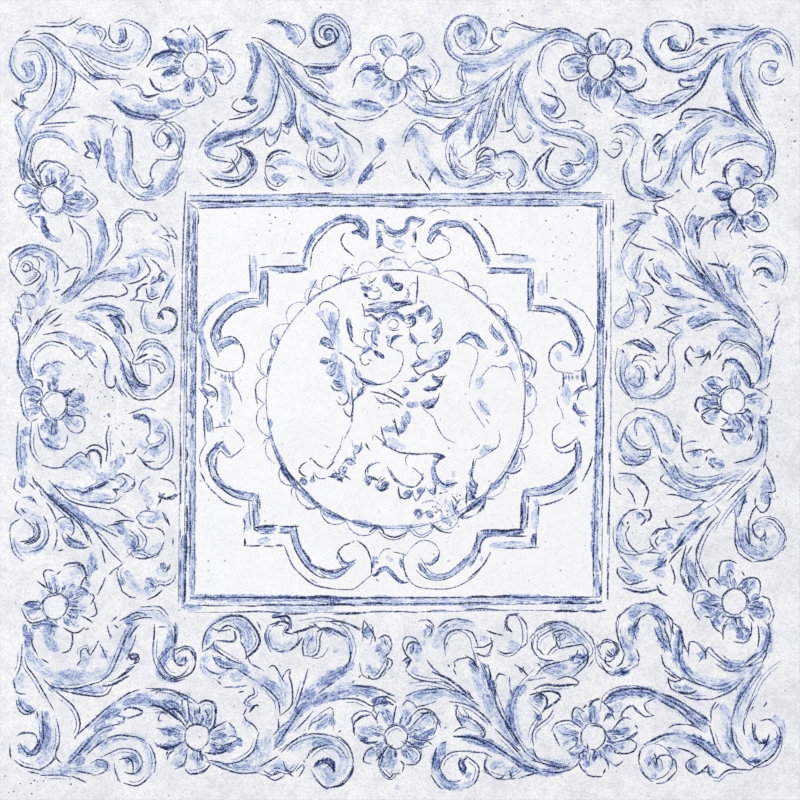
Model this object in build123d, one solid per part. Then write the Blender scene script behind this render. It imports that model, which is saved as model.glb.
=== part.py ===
"""Square porcelain tile: dry-pressed, glazed and fired as one piece, then ground square at its edges.

The tile lies flat with its glazed face up. The origin is the middle of the back plane, which the rib
tops and the rim share, and +Z points out of the glazed face. All sizes are in millimetres and degrees.
"""

import os

from build123d import *

# Overall size, ground to the 600 mm laying module
TILE_SIDE = 600.0
TILE_THICKNESS = 9.0

# Edges: the fine bevel ground round the glazed face, and the bevel that the press die leaves on the back
FACE_ARRIS = 0.6
BACK_BEVEL = 1.5

# Keying grid on the back: raised ribs between shallow square cells that the adhesive fills
RIM_WIDTH = 9.0
RIB_WIDTH = 4.5
NOMINAL_CELL_PITCH = 32.0
CELL_DEPTH = 0.8
CELL_WALL_DRAFT = 35.0


def ground_slab():
    """The solid slab with its face arris and its back bevel, standing on the back plane."""
    centred_on_back = (Align.CENTER, Align.CENTER, Align.MIN)
    slab = Box(TILE_SIDE, TILE_SIDE, TILE_THICKNESS, align=centred_on_back)
    face = slab.faces().sort_by(Axis.Z)[-1]
    slab = chamfer(face.edges(), FACE_ARRIS)
    back = slab.faces().sort_by(Axis.Z)[0]
    return chamfer(back.edges(), BACK_BEVEL)


def keying_cells():
    """The cells' hollows, narrowing upwards so that the tile leaves the die.

    An even number of cells puts a rib crossing at the middle of the back.
    """
    gridded_span = TILE_SIDE - 2 * RIM_WIDTH + RIB_WIDTH
    cells_across = 2 * max(1, round(gridded_span / NOMINAL_CELL_PITCH / 2))
    cell_pitch = gridded_span / cells_across
    cell_mouth = cell_pitch - RIB_WIDTH
    cell = extrude(Rectangle(cell_mouth, cell_mouth), CELL_DEPTH, taper=CELL_WALL_DRAFT)
    grid = GridLocations(cell_pitch, cell_pitch, cells_across, cells_across)
    return [place * cell for place in grid]


porcelain_tile = ground_slab() - keying_cells()

os.makedirs("parts", exist_ok=True)
export_step(porcelain_tile, "parts/porcelain_tile.step")
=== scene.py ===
"""A square porcelain tile with a worn blue print, lying flat and seen from straight above.

The print is laid down as brush strokes, motif by motif, in tile millimetres from the middle of the face:
x to the right and y up. All the strokes are then cut into the tile's own glazed face, which carries their
ink as a colour attribute, so tile and print stay one fired piece.
"""

import bmesh
import bpy
import numpy as np
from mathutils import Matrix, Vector
from mathutils.geometry import delaunay_2d_cdt


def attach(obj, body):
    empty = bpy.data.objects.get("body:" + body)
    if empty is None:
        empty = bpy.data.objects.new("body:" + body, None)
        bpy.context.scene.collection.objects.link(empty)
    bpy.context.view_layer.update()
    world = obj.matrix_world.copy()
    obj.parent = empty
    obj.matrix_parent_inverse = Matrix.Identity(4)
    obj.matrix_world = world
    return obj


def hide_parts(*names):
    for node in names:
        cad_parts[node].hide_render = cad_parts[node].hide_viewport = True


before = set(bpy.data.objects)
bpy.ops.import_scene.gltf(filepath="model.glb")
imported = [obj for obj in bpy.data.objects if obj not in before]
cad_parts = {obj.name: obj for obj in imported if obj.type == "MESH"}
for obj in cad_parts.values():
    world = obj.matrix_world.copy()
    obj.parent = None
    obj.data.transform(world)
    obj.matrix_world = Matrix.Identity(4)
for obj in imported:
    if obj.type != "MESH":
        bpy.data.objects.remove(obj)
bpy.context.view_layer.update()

# Border, top: acanthus scrolls that run between flowers along the edge of the tile, in worn cobalt blue.
# The print has the look of brushwork: a thin first coat, broad washes for shading, then tapered lines.
# It lies in the fired glaze, so a stroke has no thickness of its own.
PALE = 0.16
LIGHT = 0.26
MID = 0.45
DEEP = 0.66
DARK = 1.0
FINE = 1.05
LINE = 1.6
BOLD = 2.4
LINE_ENDS = 0.45
LINE_RUN_OUT = 1.4
WASH_ENDS = 0.4
WASH_SPREAD = 1.25
BROAD_WASH = 6
NARROW_WASH_GAIN = 0.1
TINT_ENDS = 0.5
SECOND_LINE_GAP = 2.6
SECOND_LINE_LENGTH = 22
SECOND_LINE_SHORTER = 0.4
COILED = 0.6
BORDER_START = 166

strokes = []


def lay(kind, ink, width, rows, ends):
    """Keeps one stroke for each row of 'x,y x,y ...' points, in tile millimetres."""
    for row in rows.strip().splitlines():
        points = np.array([[float(n) for n in point.split(",")] for point in row.split()])
        if kind == "line" and len(points) > 2:
            for end, inner in ((0, 1), (-1, -2)):
                run = points[end] - points[inner]
                points[end] += run / np.linalg.norm(run) * LINE_RUN_OUT
        strokes.append((kind, ink, width / 2, points, ends))


def drawn(ink):
    """The ink of a drawn line, which is stronger than a wash of the same name."""
    return ink ** 0.5


def line(ink, width, rows):
    """Outline strokes, pointed at both ends. A long open curve of the border has a second line inside."""
    known = len(strokes)
    lay("line", drawn(ink), width, rows, LINE_ENDS)
    for _, _, _, points, ends in strokes[known:]:
        runs = np.diff(points, axis=0)
        length = np.linalg.norm(runs, axis=1).sum()
        chord = np.linalg.norm(points[-1] - points[0])
        if len(points) < 3 or length < SECOND_LINE_LENGTH or chord < COILED * length:
            continue
        if abs(points).max() < BORDER_START:
            continue
        turning = np.sum(runs[:-1, 0] * runs[1:, 1] - runs[:-1, 1] * runs[1:, 0])
        heading = np.gradient(points, axis=0)
        heading /= np.linalg.norm(heading, axis=1)[:, None]
        inward = np.column_stack((-heading[:, 1], heading[:, 0])) * np.sign(turning)
        second = points + inward * SECOND_LINE_GAP
        second[0] += SECOND_LINE_SHORTER * (second[1] - second[0])
        second[-1] += SECOND_LINE_SHORTER * (second[-2] - second[-1])
        strokes.append(("line", drawn(LIGHT), FINE / 2, second, ends))


def wash(ink, width, rows):
    """Broad soft strokes of shading, tapered at both ends. A narrow one holds more ink."""
    gain = 1 + NARROW_WASH_GAIN * max(0, BROAD_WASH - width)
    lay("wash", min(DARK, ink * gain), width * WASH_SPREAD, rows, WASH_ENDS)


def tint(width, rows):
    """The thin first coat that fills the leaves and petals."""
    lay("tint", PALE, width, rows, TINT_ENDS)


# Left end: the corner scroll, and the leaves and coils on both sides of the first flower
tint(9, """
-240,276 -232,278 -226,274
-243,268 -212,256 -198,256 -191,266 -190,277
-172,200 -165,192 -164,184
-142,274 -134,274
-146,186 -138,196 -108,205
-142,172 -130,165 -116,166 -110,176 -114,186
-99,199 -91,197
-97,281 -86,281 -78,273
-90,246 -81,220 -86,209
-97,172 -90,178 -80,178 -70,172
""")
tint(13, """
-216,230 -205,222 -190,217 -165,224
-181,257 -169,259
-177,242 -167,243
-176,270 -166,265
-160,238 -157,229
-146,236 -142,230
-140,249 -131,244
-108,264 -99,254 -94,240 -95,225 -104,212 -116,203
""")
wash(LIGHT, 5, """
-214,222 -200,215 -188,214 -176,218
-176,199 -172,197 -174,189
""")
wash(LIGHT, 7, """
-182,253 -172,255
-164,270 -158,268
-156,270 -150,264
-98,203 -95,201
-80,272 -76,270
""")
wash(MID, 5, """
-158,240 -161,233
-142,256 -139,255
-139,251 -132,250
-139,270 -131,275
-116,198 -126,197 -142,188 -143,182
-117,186 -112,182
-109,244 -111,236 -113,228
-116,197 -108,200 -103,203
-94,167 -90,168 -85,163
""")
wash(MID, 8, """
-181,226 -172,221 -164,220
-142,188 -137,195 -122,200
-96,168 -88,164
-86,279 -79,271 -77,266
""")
wash(DEEP, 5, """
-146,190 -136,195 -110,202
-111,268 -107,258 -107,248 -114,230
""")
wash(DEEP, 6, """
-233,243 -222,241
-210,278 -207,272 -210,267
-215,224 -204,215 -192,212 -180,213
-186,256 -177,259 -168,262
-178,243 -170,247 -164,250
-178,271 -170,268 -162,266
-161,239 -158,231
-116,226 -109,222
-113,228 -110,223
-115,267 -110,260 -109,244
-81,215 -81,207 -87,206
""")
wash(DARK, 5, """
-116,228 -111,223 -107,225
""")
line(LIGHT, FINE, """
-170,200 -163,190 -164,178 -170,166
-86,283 -80,281 -76,276 -74,270
-96,258 -84,242 -74,232 -62,224
""")
line(MID, FINE, """
-246,284 -240,280 -234,282 -228,278 -224,270
-190,207 -182,210 -172,207 -166,200 -164,190
-104,266 -86,236 -78,210
""")
line(MID, LINE, """
-241,275 -238,278 -234,280
-244,247 -236,240 -227,233
-250,265 -240,262 -227,254 -210,248 -202,248
-231,280 -224,279 -220,274 -224,266
-217,280 -218,274 -215,268 -210,266
-224,266 -218,262 -210,261 -203,263 -200,269
-212,283 -207,285 -199,283 -191,278 -187,272 -187,264 -192,255 -196,251
-207,234 -199,236 -194,233 -192,228 -188,226 -181,229
-216,224 -208,218 -197,212 -178,210 -166,214
-174,207 -180,204 -184,198 -183,191 -177,187
-184,247 -177,249 -170,250
-181,203 -176,207 -170,208
-177,200 -172,197 -171,193 -175,188
-171,261 -175,268 -175,272
-179,236 -178,232 -171,232 -165,236
-184,213 -178,210 -170,212 -161,217
-178,243 -172,246 -166,244
-168,207 -163,203 -161,196 -166,181 -182,180
-170,277 -164,278 -159,273
-166,225 -163,220 -156,220 -148,224 -147,227
-144,240 -142,234
-133,208 -146,196 -150,189
-148,240 -147,232 -142,227 -138,231 -138,239 -140,244
-149,170 -139,161 -135,160
-146,187 -145,183 -139,180 -127,178
-141,210 -137,206
-143,265 -136,270 -129,276
-116,200 -130,197 -142,192
-130,259 -124,251 -124,244 -128,239
-131,190 -126,191 -118,194
-113,204 -117,200 -118,196 -117,192
-119,189 -112,186 -108,179 -108,172 -111,167
-102,203 -101,195 -98,190 -92,195 -89,204 -89,209
-100,202 -97,198 -92,201 -90,206
-88,202 -84,199 -83,203 -80,208
-89,256 -84,247 -78,240
-87,243 -81,234 -78,223 -80,211 -85,206 -89,208
-85,280 -78,281 -72,277 -71,271 -76,265
""")
line(DEEP, FINE, """
-240,262 -232,250 -220,242 -206,240
-186,200 -184,192 -178,190 -174,195 -177,200
-100,178 -101,170 -97,162 -90,160 -84,166
-100,283 -95,285 -88,283 -82,279
""")
line(DEEP, LINE, """
-131,159 -119,161 -108,171 -107,178
-101,166 -98,159 -92,157
""")
line(DARK, LINE, """
-270,274 -262,274 -250,265
-273,280 -251,280 -240,286
-247,262 -235,247 -226,241 -213,240 -210,236
-206,278 -205,274 -206,269 -210,268
-170,277 -173,275
-157,281 -159,276
-154,280 -145,270 -145,265 -144,260
-144,262 -137,262 -130,259
-145,270 -133,276 -127,277
-137,242 -134,237 -130,237 -125,242
-122,190 -119,186 -120,180 -127,172 -131,171
-126,180 -123,175 -121,170
-127,210 -117,212 -108,217
-122,225 -126,220 -118,215 -108,218 -107,220
-118,187 -113,182 -111,174 -115,168 -120,165
-116,192 -104,199 -101,203
-103,264 -91,243 -95,219 -102,210 -116,201
-95,183 -99,178
-100,175 -96,175 -93,173
-110,271 -104,270 -89,260 -70,249
-91,163 -92,161
-79,217 -76,201 -68,191
""")
line(DARK, BOLD, """
-213,222 -205,215 -195,212
-193,229 -188,227 -182,229
-187,240 -184,234 -178,231
-189,250 -184,257 -175,261 -165,260
-177,200 -172,195 -174,190
-132,171 -127,171 -119,180
-140,166 -124,164 -116,167 -111,173 -110,178
-119,225 -112,227
-120,189 -114,186 -110,180 -110,174
-98,282 -92,284 -88,281
-100,179 -97,184 -90,187 -83,185
""")

# Middle: the two tall leaves on either side of the middle flower, with a coiled tip above each
tint(9, """
-72,222 -72,210 -66,200
-98,266 -76,240 -50,222 -38,218
-62,210 -52,202 -42,196
-62,166 -50,162 -38,168 -36,182 -42,196
-40,222 -28,220 -14,217
-24,172 -30,163
-16,198 -15,184
42,208 34,198
8,222 22,217 56,222 78,244
44,276 50,268 56,264
52,210 52,196
50,238 62,236 74,240
60,222 64,212 66,200
""")
tint(13, """
-66,272 -62,283 -52,285 -43,276 -42,262 -50,252
-30,243 -21,238
-15,268 -9,261
-15,229 -6,225
7,230 14,223
8,268 14,261
14,246 24,242
12,202 18,184 26,172 40,164 56,162 70,166
""")
tint(16, """
-60,282 -48,278 -44,264
50,284 58,274 54,262
""")
wash(LIGHT, 5, """
44,210 36,200
56,214 54,202
68,226 64,210 62,198
""")
wash(LIGHT, 6, """
-52,239 -52,232
-46,268 -48,262
-36,219 -17,222
-13,262 -9,266
0,239 -2,231 -6,223
9,217 26,214
42,273 45,277 54,277
54,206 51,199 51,191
50,287 58,285 65,274
""")
wash(LIGHT, 7, """
-74,232 -62,222
""")
wash(MID, 6, """
-66,248 -58,246 -50,248
-57,276 -52,272
-22,174 -23,169 -27,165
32,193 37,201 49,209
53,273 54,266
61,206 60,199 61,194
59,174 64,177 71,177
""")
wash(MID, 8, """
-63,196 -55,192 -47,195
-36,223 -26,222 -12,218
4,193 8,200 13,202
44,249 54,248 67,249
""")
wash(DEEP, 5, """
-67,246 -57,246 -47,248
-27,249 -15,249
""")
wash(DEEP, 6, """
-73,204 -66,194
-57,274 -51,270
-20,176 -25,171 -30,162
-30,249 -19,251
-14,196 -13,186
44,273 47,279 53,278
52,271 58,267
""")
line(LIGHT, FINE, """
5,270 12,275 17,271 18,263 12,258
40,192 40,182 44,174 52,170
10,232 20,222 34,219 48,222 58,228 68,238 80,248
""")
line(MID, FINE, """
-68,190 -70,180 -66,170 -58,165 -48,166 -40,172
-64,186 -64,177 -58,170 -50,169 -44,174
-65,268 -66,277 -62,285 -55,289 -46,287 -39,280 -37,270 -40,260 -46,253
-32,160 -28,170 -14,186
60,224 38,206 34,194
36,196 34,184 38,174 46,168 54,166 64,168
40,272 42,280 50,282 56,276 56,268 50,264
34,268 36,278 42,285 50,288 58,285 63,278 64,270 60,264
66,232 58,216 52,192
74,240 62,200 60,190
56,172 62,175 70,172 76,168 80,170
76,236 72,206 70,196
""")
line(MID, LINE, """
-77,168 -71,165
-67,239 -60,236 -54,230
-67,248 -50,249 -45,252
-59,189 -53,190 -46,193
-47,190 -46,185 -49,179
-46,251 -38,260 -37,267 -41,279 -49,286 -56,287 -63,283
-42,183 -41,177 -46,170 -55,167
-37,250 -34,256 -22,259
-32,220 -27,224 -16,222
-39,211 -28,209 -18,211 -11,215
-22,260 -18,254
-21,172 -15,175 -11,178
-22,261 -22,266 -18,271 -10,273 -5,269 -3,265
-9,219 -1,222
3,238 5,233 4,227 0,223
6,247 5,243 1,239
3,223 7,219 10,217
6,179 9,171 14,165
6,244 12,236 15,233
14,274 17,269 15,263 7,256
17,231 20,226 19,221
3,191 6,200 12,207 19,206 31,199 44,210
22,165 27,174 31,165
22,257 28,250 30,243 26,234
8,218 16,214 37,211 50,214
34,275 33,269 36,260 43,254 49,252
37,187 38,177 44,166
38,190 41,184 45,179
41,272 43,266 48,262
45,251 43,246 44,241 48,238
37,176 40,170 45,166 51,166 57,170
49,239 46,235 46,230 48,228 51,228
54,206 52,199 52,192
46,182 55,188 59,193
35,278 41,286 50,288 58,286 64,281 65,274 62,267
48,259 56,259 67,261
67,237 57,230 50,228
50,159.4 65,164 70,168
50,260 57,259 68,260 76,266
65,166 71,170 78,170
""")
line(DEEP, FINE, """
22,166 26,172 33,166
47,254 46,244 48,236 46,230 50,228
68,270 70,278 76,278 78,272
""")
line(DEEP, LINE, """
-100,262 -70,231 -46,220
-67,178 -67,173 -63,169
-72,249 -68,242 -60,240 -54,234
23,164 26,173 34,162
18,240 22,230 30,224 40,223 52,227
57,178 58,185 63,189 70,187 74,180
72,216 72,211 67,199 61,192
""")
line(DARK, LINE, """
-78,240 -71,232 -62,226 -52,222
-67,231 -60,225 -52,222
-60,185 -55,182 -52,179
-59,218 -52,212
-65,276 -62,268 -55,265 -48,268 -46,274 -49,279 -55,281 -60,278 -60,273 -56,270 -52,273
-67,223 -58,217 -42,210
-38,199 -32,195 -29,191 -28,186
-35,235 -32,244 -25,248
-31,161 -29,166
-13,245 -9,241 -5,239
1,272 6,274 10,275
6,178 10,168 13,166
11,245 15,247 19,246
15,168 18,164 22,158
16,232 20,231 23,235
42,224 50,227
50,215 56,219
56,214 64,217
57,172 58,177 64,180 67,180
59,180 63,183 67,182
60,222 67,226
58,180 62,186 67,188 71,186 71,181
69,275 69,270 71,267 75,265
""")
line(DARK, BOLD, """
-74,200 -69,193
-72,250 -60,249 -47,250
-63,283 -65,275 -64,268 -60,264 -49,268 -48,272 -51,277 -54,278 -57,274 -55,270
-57,167 -50,168 -47,171
-48,207 -44,203 -38,199
-12,215 -9,217
22,224 28,223 37,223
""")

# Right end: the leaf that swings under the last flower, and the scroll that runs out into the corner
tint(9, """
36,270 38,260 48,254 72,255 84,262 110,274 124,273 134,268
62,182 74,184 88,182 92,172 86,164
104,226 112,216 118,224
132,188 136,180
175,190 178,202 168,206
160,222 172,218 190,218 216,232 236,254
202,272 208,264
186,280 184,266 200,248 214,250 240,266
""")
tint(13, """
84,242 96,216 108,205
102,176 106,166 118,160 132,162 142,172 144,186 136,196 120,200 104,200
124,253 135,246
138,238 142,227
145,273 149,265
156,232 162,225
162,267 168,262
170,248 177,240
232,278 262,276 274,272
""")
wash(LIGHT, 5, """
92,250 86,234 83,218
""")
wash(LIGHT, 6, """
80,276 75,273 73,270
107,270 99,267 77,253 67,251 50,251
87,164 91,166 91,170
91,174 93,166
105,272 114,274 133,271 139,267
143,188 142,182 139,178
142,267 145,262
148,274 148,267 151,261
152,238 150,232 148,226
168,224 176,216 182,214
""")
wash(LIGHT, 8, """
165,227 172,221 184,217 203,219
238,258 234,250
""")
wash(MID, 6, """
81,206 85,213
97,254 89,242 88,235
105,195 112,191
124,254 130,255 136,254
131,249 138,248
168,230 175,224 183,218
187,278 184,272 188,260 197,250
198,221 204,222 209,224
202,268 206,266 210,266
214,240 223,241
230,246 222,240
234,275 242,275
278,276 263,271 252,263
""")
wash(MID, 8, """
107,222 112,216 117,220
170,250 177,243
""")
wash(DEEP, 6, """
95,205 99,203
120,173 125,170 131,171
124,178 130,172
142,242 141,235 141,229
152,240 156,233 152,226
156,240 157,235
202,272 205,264 212,262
224,268 228,269
""")
line(MID, FINE, """
84,252 78,222 80,208
98,254 90,240 84,212 88,202
""")
line(MID, LINE, """
72,277 77,277 80,276
84,245 73,225 72,216
86,253 75,242 72,240
88,158 93,161 95,166
85,202 90,194 94,193 98,196 100,200
90,245 88,240 92,223 100,210
91,182 95,177 96,173
109,171 113,165
106,219 107,214 116,208 123,208
109,239 114,235 117,230
104,271 116,276 124,275
114,228 118,224 118,219 114,215
108,265 118,270 129,268
100,210 112,201 131,196 139,189
121,166 126,163
130,267 132,261 142,259
134,240 133,235 134,229 137,225 141,224
130,267 136,266 143,259
134,203 143,198 147,193 148,180 146,172 142,167
148,239 143,232 143,222 150,216
161,200 166,201 172,198
159,203 165,206 171,206 176,203 182,196
175,191 172,181
204,255 218,258 227,263
238,259 235,253 230,247
259,260 254,256 250,250
""")
line(DEEP, FINE, """
78,186 86,184 92,178 94,170 90,162 84,160 80,165
78,276 84,282 104,278 112,279
158,192 162,196 166,193 164,188 160,188
""")
line(DEEP, LINE, """
110,212 116,211 121,213 124,218 120,225 116,227
110,170 114,165 127,161 137,166 141,172
119,249 121,255 131,259 141,257
134,187 137,184 138,180 136,177 131,176 126,177 121,176
129,204 134,203 138,205 132,209 127,209
128,275 133,274 140,269
135,196 139,189
165,234 165,228 160,219
162,216 169,212 177,211
175,225 188,221 198,222
195,264 197,269 206,273
220,233 210,232 196,225 198,222 207,225
221,268 226,271 230,270
""")
line(DEEP, BOLD, """
183,264 190,254 196,249 204,246 211,246 221,249
220,240 215,239 210,240 209,237 213,234 220,235
""")
line(DARK, LINE, """
77,223 77,217 79,211
76,201 80,201 84,203 86,206
74,184 79,186 85,186 88,184
82,172 85,169 81,166 80,162 82,158
85,283 90,281 98,278
98,277 104,278 109,277
111,267 106,262 103,250 104,244
102,173 105,166 110,161 116,158
107,230 112,228 118,226
113,193 119,190 125,189
119,250 120,244 123,240 128,239 135,241 140,246
140,177 137,176
140,270 141,264 143,259
141,272 144,275
151,239 145,241 141,246 140,252 143,258 155,259
147,278 154,277 157,272
161,193 165,192 166,187 160,181 153,187
158,268 161,270 165,270
167,256 171,257 174,256
177,255 183,250 184,247
200,215 195,213 190,211
188,280 192,283 207,284
225,267 232,266
219,250 225,254 233,262 242,266 253,268
234,272 240,271
244,258 243,250
247,278 261,277 268,280
""")
line(DARK, BOLD, """
112,188 102,178 100,173
115,188 111,183 109,172
113,277 120,278 126,277 129,275
140,264 142,272 148,275
159,269 156,265 154,260
156,257 160,254 161,248 157,242 151,239
160,248 164,247 168,243
167,270 172,267 173,263 171,259 167,256
184,240 182,235 171,231 162,238
190,195 193,199 197,197
201,269 201,265 204,262 213,262 214,267
209,283 215,281 219,277 219,267 215,262
243,259 234,250 227,236 221,229 204,216
231,277 238,278 245,277
""")

# Border, right side: a stem rises and falls from the flower at half height, with leaves in pairs along it.
# It is printed in the same blue as the top, in lines, washes and a thin first coat.
SOFT = 0.34

# Upper end: the corner stem, the leaves that hang from it and the flower under them
tint(9, """
276,250 281,242
246,262 244,246 246,230 254,216 264,206
216,212 226,214 240,212 264,200
196,198 196,184
236,196 268,194 276,184 278,172
232,184 240,192
204,164 218,192 230,204
224,188 222,176
170,178 168,164 176,154 190,152
164,127 174,131 184,134
170,112 164,102 166,92
264,104 275,106 284,98 280,88
180,108 174,96 178,86
182,86 188,80
216,106 224,94 270,46
""")
tint(13, """
262,264 258,250 268,224
256,174 263,166
236,158 247,156
267,157 275,152
266,132 272,134
240,129 236,124
""")
tint(16, """
232,92 246,76 260,60
""")
wash(LIGHT, 7, """
180,88 178,80
199,84 208,79 220,77
214,104 222,92 252,66 262,54
""")
wash(LIGHT, 8, """
252,263 247,255 245,238 250,219 257,210
239,208 251,208
250,197 262,196
234,206 219,195 207,180 201,165
201,187 196,179
277,190 277,182 273,165
""")
wash(LIGHT, 9, """
275,165 278,176
205,176 202,166 195,160
266,158 272,154
178,138 188,137
270,135 263,131
167,126 174,129 180,133
222,116 219,121
203,120 208,114
197,104 193,101
251,100 247,95
252,92 254,100
282,90 275,93
204,84 199,85
172,80 177,74
""")
wash(MID, 6, """
279,266 283,262 285,258
276,249 282,247
206,203 210,205 214,207
""")
wash(MID, 8, """
276,251 281,248
246,233 252,218 260,206
255,177 262,170 267,165
257,165 264,163
227,158 223,156
182,160 190,155 199,154
234,156 240,155 246,150
268,146 275,147
240,145 245,147
221,130 226,137
220,139 219,131 218,121
251,129 256,126
198,137 203,130 209,113
272,99 276,95 279,91
192,101 197,95 203,88
245,97 248,90 249,83
221,96 235,80 243,74
215,79 208,80 202,82
""")
wash(DEEP, 6, """
252,167 256,162 263,164
234,157 240,153 247,155
268,156 273,152
233,137 243,138 249,140
""")
wash(DEEP, 7, """
236,153 241,153 245,153
268,154 272,150
247,143 251,138
264,138 269,134
258,134 262,133
""")
line(LIGHT, FINE, """
258,256 264,266 274,270 283,266 287,258
268,208 274,200 278,190 280,178
262,100 266,108 274,110
258,112 268,116 280,114 288,106 290,96 286,86
246,78 232,92 220,108
""")
line(MID, FINE, """
255,262 262,272 272,278 283,276 291,268 295,258
256,250 255,236 265,212 270,206
166,106 168,96 172,90
258,72 252,86 250,100
268,60 244,94 236,110
262,58 236,86 222,98 212,110
255,68 240,80 226,88 210,94
""")
line(MID, LINE, """
238,186 245,190 260,194 272,191 277,188
276,201 281,187 279,168
229,199 223,195 219,189 219,174 218,166
220,180 222,172 226,169 228,172
220,179 221,173 224,169 227,170
181,180 181,172 182,164
277,180 276,170 272,163
196,174 195,169 191,166
205,180 204,172 197,160
186,149 194,149 200,151
175,139 183,140 190,139
213,131 216,139 221,145
238,134 234,136 230,132
167,130 172,132 177,134
223,134 228,137 224,131 222,126
201,141 207,135 211,128 213,119
234,135 229,133 225,127 224,121
222,131 221,126
213,131 214,125
250,130 247,125 248,122
202,137 207,125 209,115
256,126 260,121
180,131 170,119 166,111
190,122 203,115 210,108
262,115 269,114 276,115
210,108 216,101
262,101 266,106 272,107 277,103
176,98 180,109
182,110 178,103 177,96 175,92
190,101 191,95 194,92
219,88 225,84 233,80
196,84 201,79 214,77
""")
line(DEEP, LINE, """
269,247 271,252 277,254 282,253 283,250 281,246
210,210 214,211 218,212
245,229 257,211 274,195 277,188
236,213 229,210 215,200
232,181 238,186
232,192 227,180 226,174
184,192 182,179 181,166
210,193 207,186 206,178 201,165
""")
line(DEEP, BOLD, """
231,219 238,218 252,212 260,205
203,202 191,191 190,187 192,184
""")
line(DARK, LINE, """
286,270 291,264 294,251
269,247 269,242 273,237 279,236 285,238 287,240
256,251 256,238 264,218 271,207
198,190 195,186 194,180
259,178 264,174 269,170
265,168 269,167 271,170 268,175 264,174
211,171 211,166 216,159
182,164 186,163 190,166
244,166 245,162 248,160
170,180 167,172 171,156 182,150
230,160 234,163 240,163 246,161
262,159 266,162 271,162
249,157 257,159 262,157
206,155 210,158
271,162 277,160 283,153 280,149
183,161 188,155 199,151 204,153
264,148 266,153
190,142 193,139 190,145 192,147
193,145 198,143 201,141
257,138 263,142
190,139 193,138
237,137 248,138 250,136
267,141 270,140 275,135 276,131
173,135 179,134 183,132
250,136 247,131 245,128
260,130 264,127 269,126 274,128 276,132
239,134 236,131 235,127 236,121
213,124 213,119
224,121 224,113
173,118 178,115 191,112
186,104 190,106
244,99 247,103
285,109 288,101 287,92
214,114 216,107 222,98 240,77
264,98 267,93
224,104 227,97 234,87
207,95 213,91 219,88
175,92 178,87
237,96 240,89 243,83
252,82 251,89
269,87 275,84
183,88 187,87 190,82 187,79 182,78
220,77 228,75 234,73
""")
line(DARK, BOLD, """
210,210 214,217 230,217
242,168 243,174 251,180 256,180
256,180 250,180 245,176 243,170 244,166
267,155 270,156
247,152 243,150 240,150
248,154 246,146 252,138
254,135 256,131 258,128
222,132 223,118
232,102 239,101 244,99
265,93 268,98 275,98 279,92
184,98 188,92 194,87
""")

# Half height: the coiled tips against the frame, and the fan of leaves above the flower
tint(9, """
200,66 215,68 228,70
176,66 184,68 184,58
205,56 212,52 206,46
240,52 252,52 264,46 272,24 268,12
166,38 164,24 170,10 180,2 194,2 204,12 204,26
190,-10 200,-18 204,-30
176,-20 182,-14 194,-36
268,-10 272,-26 270,-38 262,-46 252,-48
164,-26 166,-38 176,-46 186,-42
164,-60 170,-58 180,-64
272,-56 276,-64 270,-76
200,-60 210,-68 224,-72 236,-70
""")
tint(13, """
162,64 166,58 176,58
250,22 246,14
174,14 178,18
230,12 238,14
232,-12 238,-14
248,-28 256,-32
196,-46 204,-56 218,-62 232,-62 258,-54
""")
tint(16, """
168,34 168,16 180,6
166,-24 174,-40 186,-40
""")
wash(LIGHT, 7, """
214,58 232,63 240,62
273,48 277,42
220,38 228,36
176,25 181,20 181,12 175,8
258,-24 261,-16
270,-18 272,-28
218,-38 222,-42
""")
wash(LIGHT, 9, """
173,66 168,60
""")
wash(LIGHT, 10, """
243,49 252,48 260,46
273,45 273,36
274,32 273,22 271,14
247,17 252,14
176,20 175,10
268,-3 272,-5
231,-11 236,-14
260,-22 255,-27
266,-20 270,-28 272,-36
204,-40 197,-33
187,-40 181,-43
170,-45 180,-46
203,-50 208,-60
272,-60 276,-66
208,-68 218,-72
272,-77 277,-66
""")
wash(MID, 9, """
215,57 224,60 232,63
238,47 246,46
278,46 276,40
225,36 228,37
182,20 181,12
231,14 235,10
226,-2 232,-4
260,-12 263,-17
273,-20 271,-12
254,-14 252,-20
258,-25 256,-30
222,-42 226,-40
231,-46 238,-48 243,-50
258,-72 256,-78
""")
wash(DEEP, 6, """
178,42 186,39 190,36
243,28 246,30
244,30 252,28 262,10
191,20 193,14
266,12 261,10
252,-14 256,-20 252,-24
206,-22 208,-30
206,-26 208,-32
223,-40 219,-39
234,-44 240,-48
235,-47 240,-48
""")
wash(DEEP, 7, """
275,-78 275,-71
""")
line(LIGHT, FINE, """
172,-18 178,-13 184,-16
204,-46 212,-56 222,-60 234,-60 246,-56
262,-52 240,-74 228,-82
""")
line(MID, FINE, """
176,80 184,76 188,68 184,60
245,38 252,42 262,38 268,30 270,20
187,25 184,29 178,30 171,27 168,20 171,13 178,10 185,13
163,38 161,26 163,14 169,5 178,1 190,4 200,12 206,24 204,38 200,46
141,9 145,11 147,14
176,-8 168,-12 163,-22 164,-34 170,-43 180,-47 190,-43
200,-54 206,-62 216,-68 228,-68 252,-56
""")
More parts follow.
